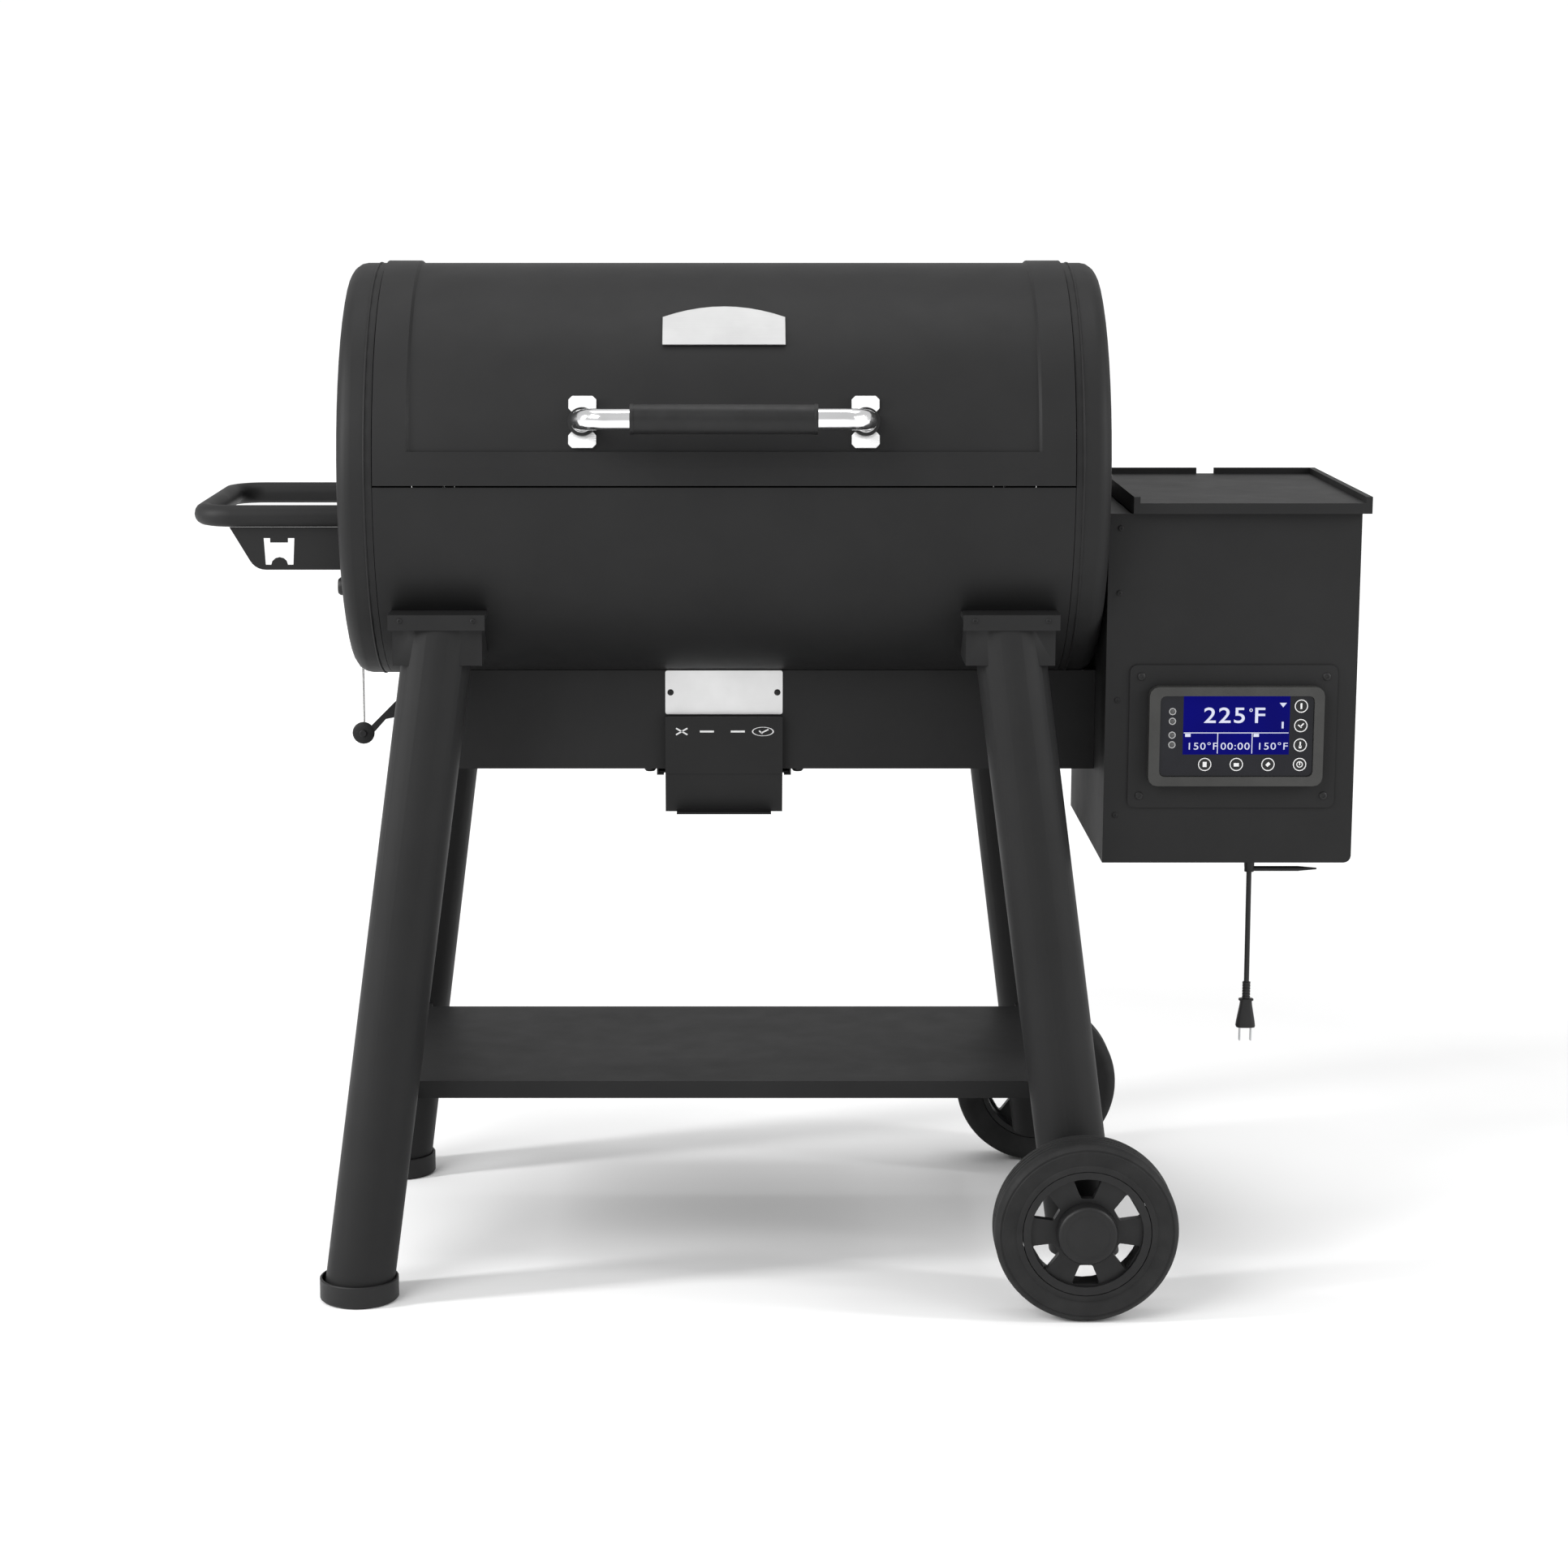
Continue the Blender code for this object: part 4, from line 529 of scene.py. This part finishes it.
def add_display():
    """Blue screen with generic figures, and four lamps in rings beside it."""
    bm = bmesh.new()
    flat_shape(bm, rectangle(0.56915, 0.64365, 0.1181, 0.0657), GLASS_FACE, INK)
    new_piece("screen", bm, SCREEN_BLUE, BASE)
    lettering("screen_large_figures", "225", 0.5560, LARGE_Z, LARGE_SIZE, LARGE_WEIGHT)
    lettering("screen_large_unit", "F", 0.5945, LARGE_Z, LARGE_SIZE, LARGE_WEIGHT)
    for name, text, x in SMALL_FIGURES:
        lettering("screen_" + name + "_figures", text, x, SMALL_Z, SMALL_SIZE)
    bm = bmesh.new()
    for bar in SCREEN_BARS:
        flat_shape(bm, rectangle(*bar), SCREEN_FACE, INK)
    flat_shape(bm, [(0.6165, 0.6690), (0.6205, 0.6640), (0.6245, 0.6690)], SCREEN_FACE, INK)
    flat_ring(bm, 0.5850, 0.6608, 0.0019, 0.0009, SCREEN_FACE)
    new_piece("screen_lines", bm, SCREEN_TEXT, BASE)
    rings, domes = bmesh.new(), bmesh.new()
    for z in LAMP_HEIGHTS:
        flat_ring(rings, LAMP_X, z, 0.0040, 0.0011, GLASS_FACE)
        lathe(domes, LAMP_PROFILE, facing(at(LAMP_X, GLASS_FACE, z), (0, -1, 0)), 20)
    new_piece("lamp_rings", rings, INK_GREY, BASE)
    new_piece("lamps", domes, INK_DARK, BASE)


KEY_MARKS = {       # bars of each symbol: offset along X and Z, width, height and tilt
    "key_probe": [(0.0, 0.0, 0.0020, 0.0065, 0.0)],
    "key_menu": [(-0.0010, -0.0008, 0.0050, 0.0014, -0.7), (0.0014, 0.0006, 0.0052, 0.0014, 0.8)],
    "key_temperature": [(0.0, 0.0010, 0.0016, 0.0055, 0.0), (0.0, -0.0022, 0.0030, 0.0030, 0.0)],
    "key_mode": [(0.0, 0.0, 0.0044, 0.0058, 0.0)],
    "key_timer": [(0.0, -0.0004, 0.0058, 0.0038, 0.0)],
    "key_light": [(0.0, 0.0, 0.0048, 0.0034, 0.785)],
    "key_power": [(0.0, 0.0014, 0.0012, 0.0046, 0.0)],
}


def add_key_marks():
    """A ring and a plain symbol on each key, which travel with it."""
    for name, marks in KEY_MARKS.items():
        low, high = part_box(name)
        x, z = (low.x + high.x) / 2 - SHIFT, (low.z + high.z) / 2
        bm = bmesh.new()
        flat_ring(bm, x, z, 0.0074, 0.0010, low.y)
        if name == "key_power":
            flat_ring(bm, x, z, 0.0036, 0.0010, low.y)
        for dx, dz, width, height, tilt in marks:
            flat_shape(bm, rectangle(x + dx, z + dz, width, height, tilt), low.y, OVERPRINT)
        new_piece(name + "_mark", bm, INK_WHITE, name)


DRAWER_LIP_REACH = 0.009        # the finger lip stands this far before the drawer's panel
DRAWER_MARKS_Z = 0.6196


def add_drawer_marks():
    """The drawer's shut and open marks: a cross, two dashes and a tick in an oval."""
    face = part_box("ash_drawer")[0].y + DRAWER_LIP_REACH
    bm = bmesh.new()
    z = DRAWER_MARKS_Z
    for tilt in (0.52, -0.52):
        flat_shape(bm, rectangle(-0.0482, z, 0.0150, 0.0017, tilt), face, INK)
    for x in (-0.0195, 0.0158):
        flat_shape(bm, rectangle(x, z, 0.0160, 0.0022), face, INK)
    flat_ring(bm, 0.0445, z, 0.0125, 0.0014, face, 0.42)
    flat_shape(bm, rectangle(0.0420, z - 0.0008, 0.0052, 0.0015, -0.75), face, OVERPRINT)
    flat_shape(bm, rectangle(0.0468, z + 0.0004, 0.0092, 0.0015, 0.45), face, OVERPRINT)
    new_piece("drawer_marks", bm, INK_WHITE, "ash_drawer")


# ---------------------------------------------------------------- mains cord
CORD_RADIUS, CORD_LENGTH, CORD_STEPS = 0.0030, 0.1285, 20
CORD_TOP, CORD_END = (CORD_X, CORD_Y, 0.4665), (CORD_X + 0.0008, CORD_Y, 0.3380)
RELIEF_PROFILE = [(0.0, 0.0), (0.0078, 0.0), (0.0078, 0.0030), (0.0060, 0.0036), (0.0057, 0.0120),
                  (0.0050, 0.0186), (0.0, 0.0186)]


def add_cord():
    """The hanging cord with its tapered relief above and its moulded plug below."""
    curve = bpy.data.curves.new("mains_cord", "CURVE")
    curve.dimensions = "3D"
    curve.bevel_depth = CORD_RADIUS
    curve.bevel_resolution = 6
    curve.use_fill_caps = True
    spline = curve.splines.new("POLY")
    spline.points.add(CORD_STEPS)
    for k, point in enumerate(spline.points):
        point.co = (*at(*CORD_TOP).lerp(at(*CORD_END), k / CORD_STEPS), 1.0)
    cord = bpy.data.objects.new("mains_cord", curve)
    bpy.context.scene.collection.objects.link(cord)
    curve.materials.append(LOOKS["black_plastic"])
    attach(cord, BASE)
    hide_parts("power_cord")
    plug = add_plug()
    bm = bmesh.new()
    lathe(bm, RELIEF_PROFILE, facing(at(CORD_X, CORD_Y, CABINET_UNDERSIDE - 0.0002), (0, 0, -1)), 32)
    new_piece("cord_relief", bm, LOOKS["black_plastic"], BASE)


def loft(bm, sections):
    """Join equal-length closed sections into one capped solid."""
    loops = [[bm.verts.new(point) for point in section] for section in sections]
    bridge(bm, loops)
    bm.faces.new(list(reversed(loops[0])))
    bm.faces.new(loops[-1])


def rounded_section(half_x, half_y, z, power=3.2):
    """Points of a superellipse about the cord's line at a height."""
    x, y, _ = CORD_END
    points = []
    for angle in turn(28):
        cosine, sine = math.cos(angle), math.sin(angle)
        reach_x = half_x * math.copysign(abs(cosine) ** (2 / power), cosine)
        reach_y = half_y * math.copysign(abs(sine) ** (2 / power), sine)
        points.append(at(x + reach_x, y + reach_y, z))
    return points


PLUG_BODY = [       # half width, half depth and height of each section
    (0.0062, 0.0058, 0.3182), (0.0084, 0.0060, 0.3178), (0.0084, 0.0060, 0.3164), (0.0066, 0.0058, 0.3158),
    (0.0070, 0.0064, 0.3110), (0.0086, 0.0074, 0.3020), (0.0104, 0.0079, 0.2920), (0.0111, 0.0079, 0.2866),
    (0.0106, 0.0075, 0.2851),
]


def add_plug():
    """Moulded plug: ribbed neck, waisted body and two plated blades."""
    bm = bmesh.new()
    neck = []
    for k in range(6):
        z = CORD_END[2] - 0.0003 - 0.0033 * k
        neck += [(0.0046, z), (0.0046, z - 0.0020), (0.0039, z - 0.0022), (0.0039, z - 0.0031)]
    sections = [rounded_section(r, r, z, 2.0) for r, z in neck]
    sections += [rounded_section(half_x, half_y, z) for half_x, half_y, z in PLUG_BODY]
    loft(bm, sections)
    plug = new_piece("mains_plug", bm, LOOKS["black_plastic"], BASE)
    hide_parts("power_plug")
    bm = bmesh.new()
    x, y, _ = CORD_END
    for offset in (-0.0063, 0.0063):
        block(bm, at(x + offset - 0.0007, y - 0.0031, 0.2691), at(x + offset + 0.0007, y + 0.0031, 0.2856))
    blades = new_piece("plug_blades", bm, LOOKS["zinc_steel"], BASE)
    return [plug, blades]


add_camera()
add_cord()
dress_cad()
add_fasteners()
add_end_cap_trim()
add_handle_collars()
add_wheels()
add_display()
add_key_marks()
add_drawer_marks()


# ---------------------------------------------------------------- floor and light
FLOOR_RADIUS = 40.0
FLOOR_GLOW = (1.3, 4.0, 0.55)       # distance where the glow starts and is full, and its full strength
WORLD_STRENGTHS = (0.68, 1.02)      # for light on the object, and as seen


def add_stage():
    """Pale round floor whose outer part glows faintly, so that it fades into the white studio."""
    bm = bmesh.new()
    bmesh.ops.create_circle(bm, cap_ends=True, segments=64, radius=FLOOR_RADIUS)
    mesh = bpy.data.meshes.new("floor")
    bm.to_mesh(mesh)
    bm.free()
    floor = bpy.data.objects.new("floor", mesh)
    floor.location.z = -0.0005
    bpy.context.scene.collection.objects.link(floor)
    look = Look("studio_floor")
    look.colour(look.ramp(look.noise(3.0, 2.0), (0.3, 0.795), (0.7, 0.815)))
    look.set(Roughness=0.85, Emission_Color=(1.0, 1.0, 1.0, 1.0))
    distance = look.nodes.new("ShaderNodeVectorMath")
    distance.operation = "LENGTH"
    glow = look.nodes.new("ShaderNodeMapRange")
    for socket, value in zip(("From Min", "From Max", "To Max"), FLOOR_GLOW):
        glow.inputs[socket].default_value = value
    look.links.new(look.place, distance.inputs[0])
    look.links.new(distance.outputs["Value"], glow.inputs["Value"])
    look.links.new(glow.outputs["Result"], look.shader.inputs["Emission Strength"])
    mesh.materials.append(look.material)


def add_world():
    """White surroundings, brighter to the eye than to the object they light."""
    world = bpy.data.worlds.new("studio")
    world.use_nodes = True
    nodes, links = world.node_tree.nodes, world.node_tree.links
    nodes["Background"].inputs["Color"].default_value = (1.0, 1.0, 1.0, 1.0)
    strength = nodes.new("ShaderNodeMapRange")
    strength.inputs["To Min"].default_value, strength.inputs["To Max"].default_value = WORLD_STRENGTHS
    links.new(nodes.new("ShaderNodeLightPath").outputs["Is Camera Ray"], strength.inputs["Value"])
    links.new(strength.outputs["Result"], nodes["Background"].inputs["Strength"])
    bpy.context.scene.world = world


def add_light(name, location, target, size, power):
    """A square area light aimed at a point."""
    data = bpy.data.lights.new(name, "AREA")
    data.shape = "RECTANGLE"
    data.size, data.size_y = size
    data.energy = power
    light = bpy.data.objects.new(name, data)
    light.location = location
    light.rotation_euler = (Vector(target) - Vector(location)).to_track_quat("-Z", "Y").to_euler()
    bpy.context.scene.collection.objects.link(light)


add_stage()
add_light("key", (-2.6, -3.2, 3.4), (0.0, 0.0, 0.7), (2.4, 2.4), 120.0)
add_light("fill", (3.4, -2.6, 2.0), (0.0, 0.0, 0.7), (2.2, 2.6), 42.0)
add_light("top", (0.0, 0.2, 4.2), (0.0, 0.0, 0.8), (3.6, 1.6), 52.0)
add_light("left_strip", (-3.0, -0.9, 1.9), (0.0, 0.0, 1.0), (0.30, 1.6), 80.0)
add_light("right_strip", (3.0, -0.9, 1.9), (0.0, 0.0, 1.0), (0.30, 1.6), 40.0)
add_world()
bpy.context.scene.view_settings.view_transform = "Standard"
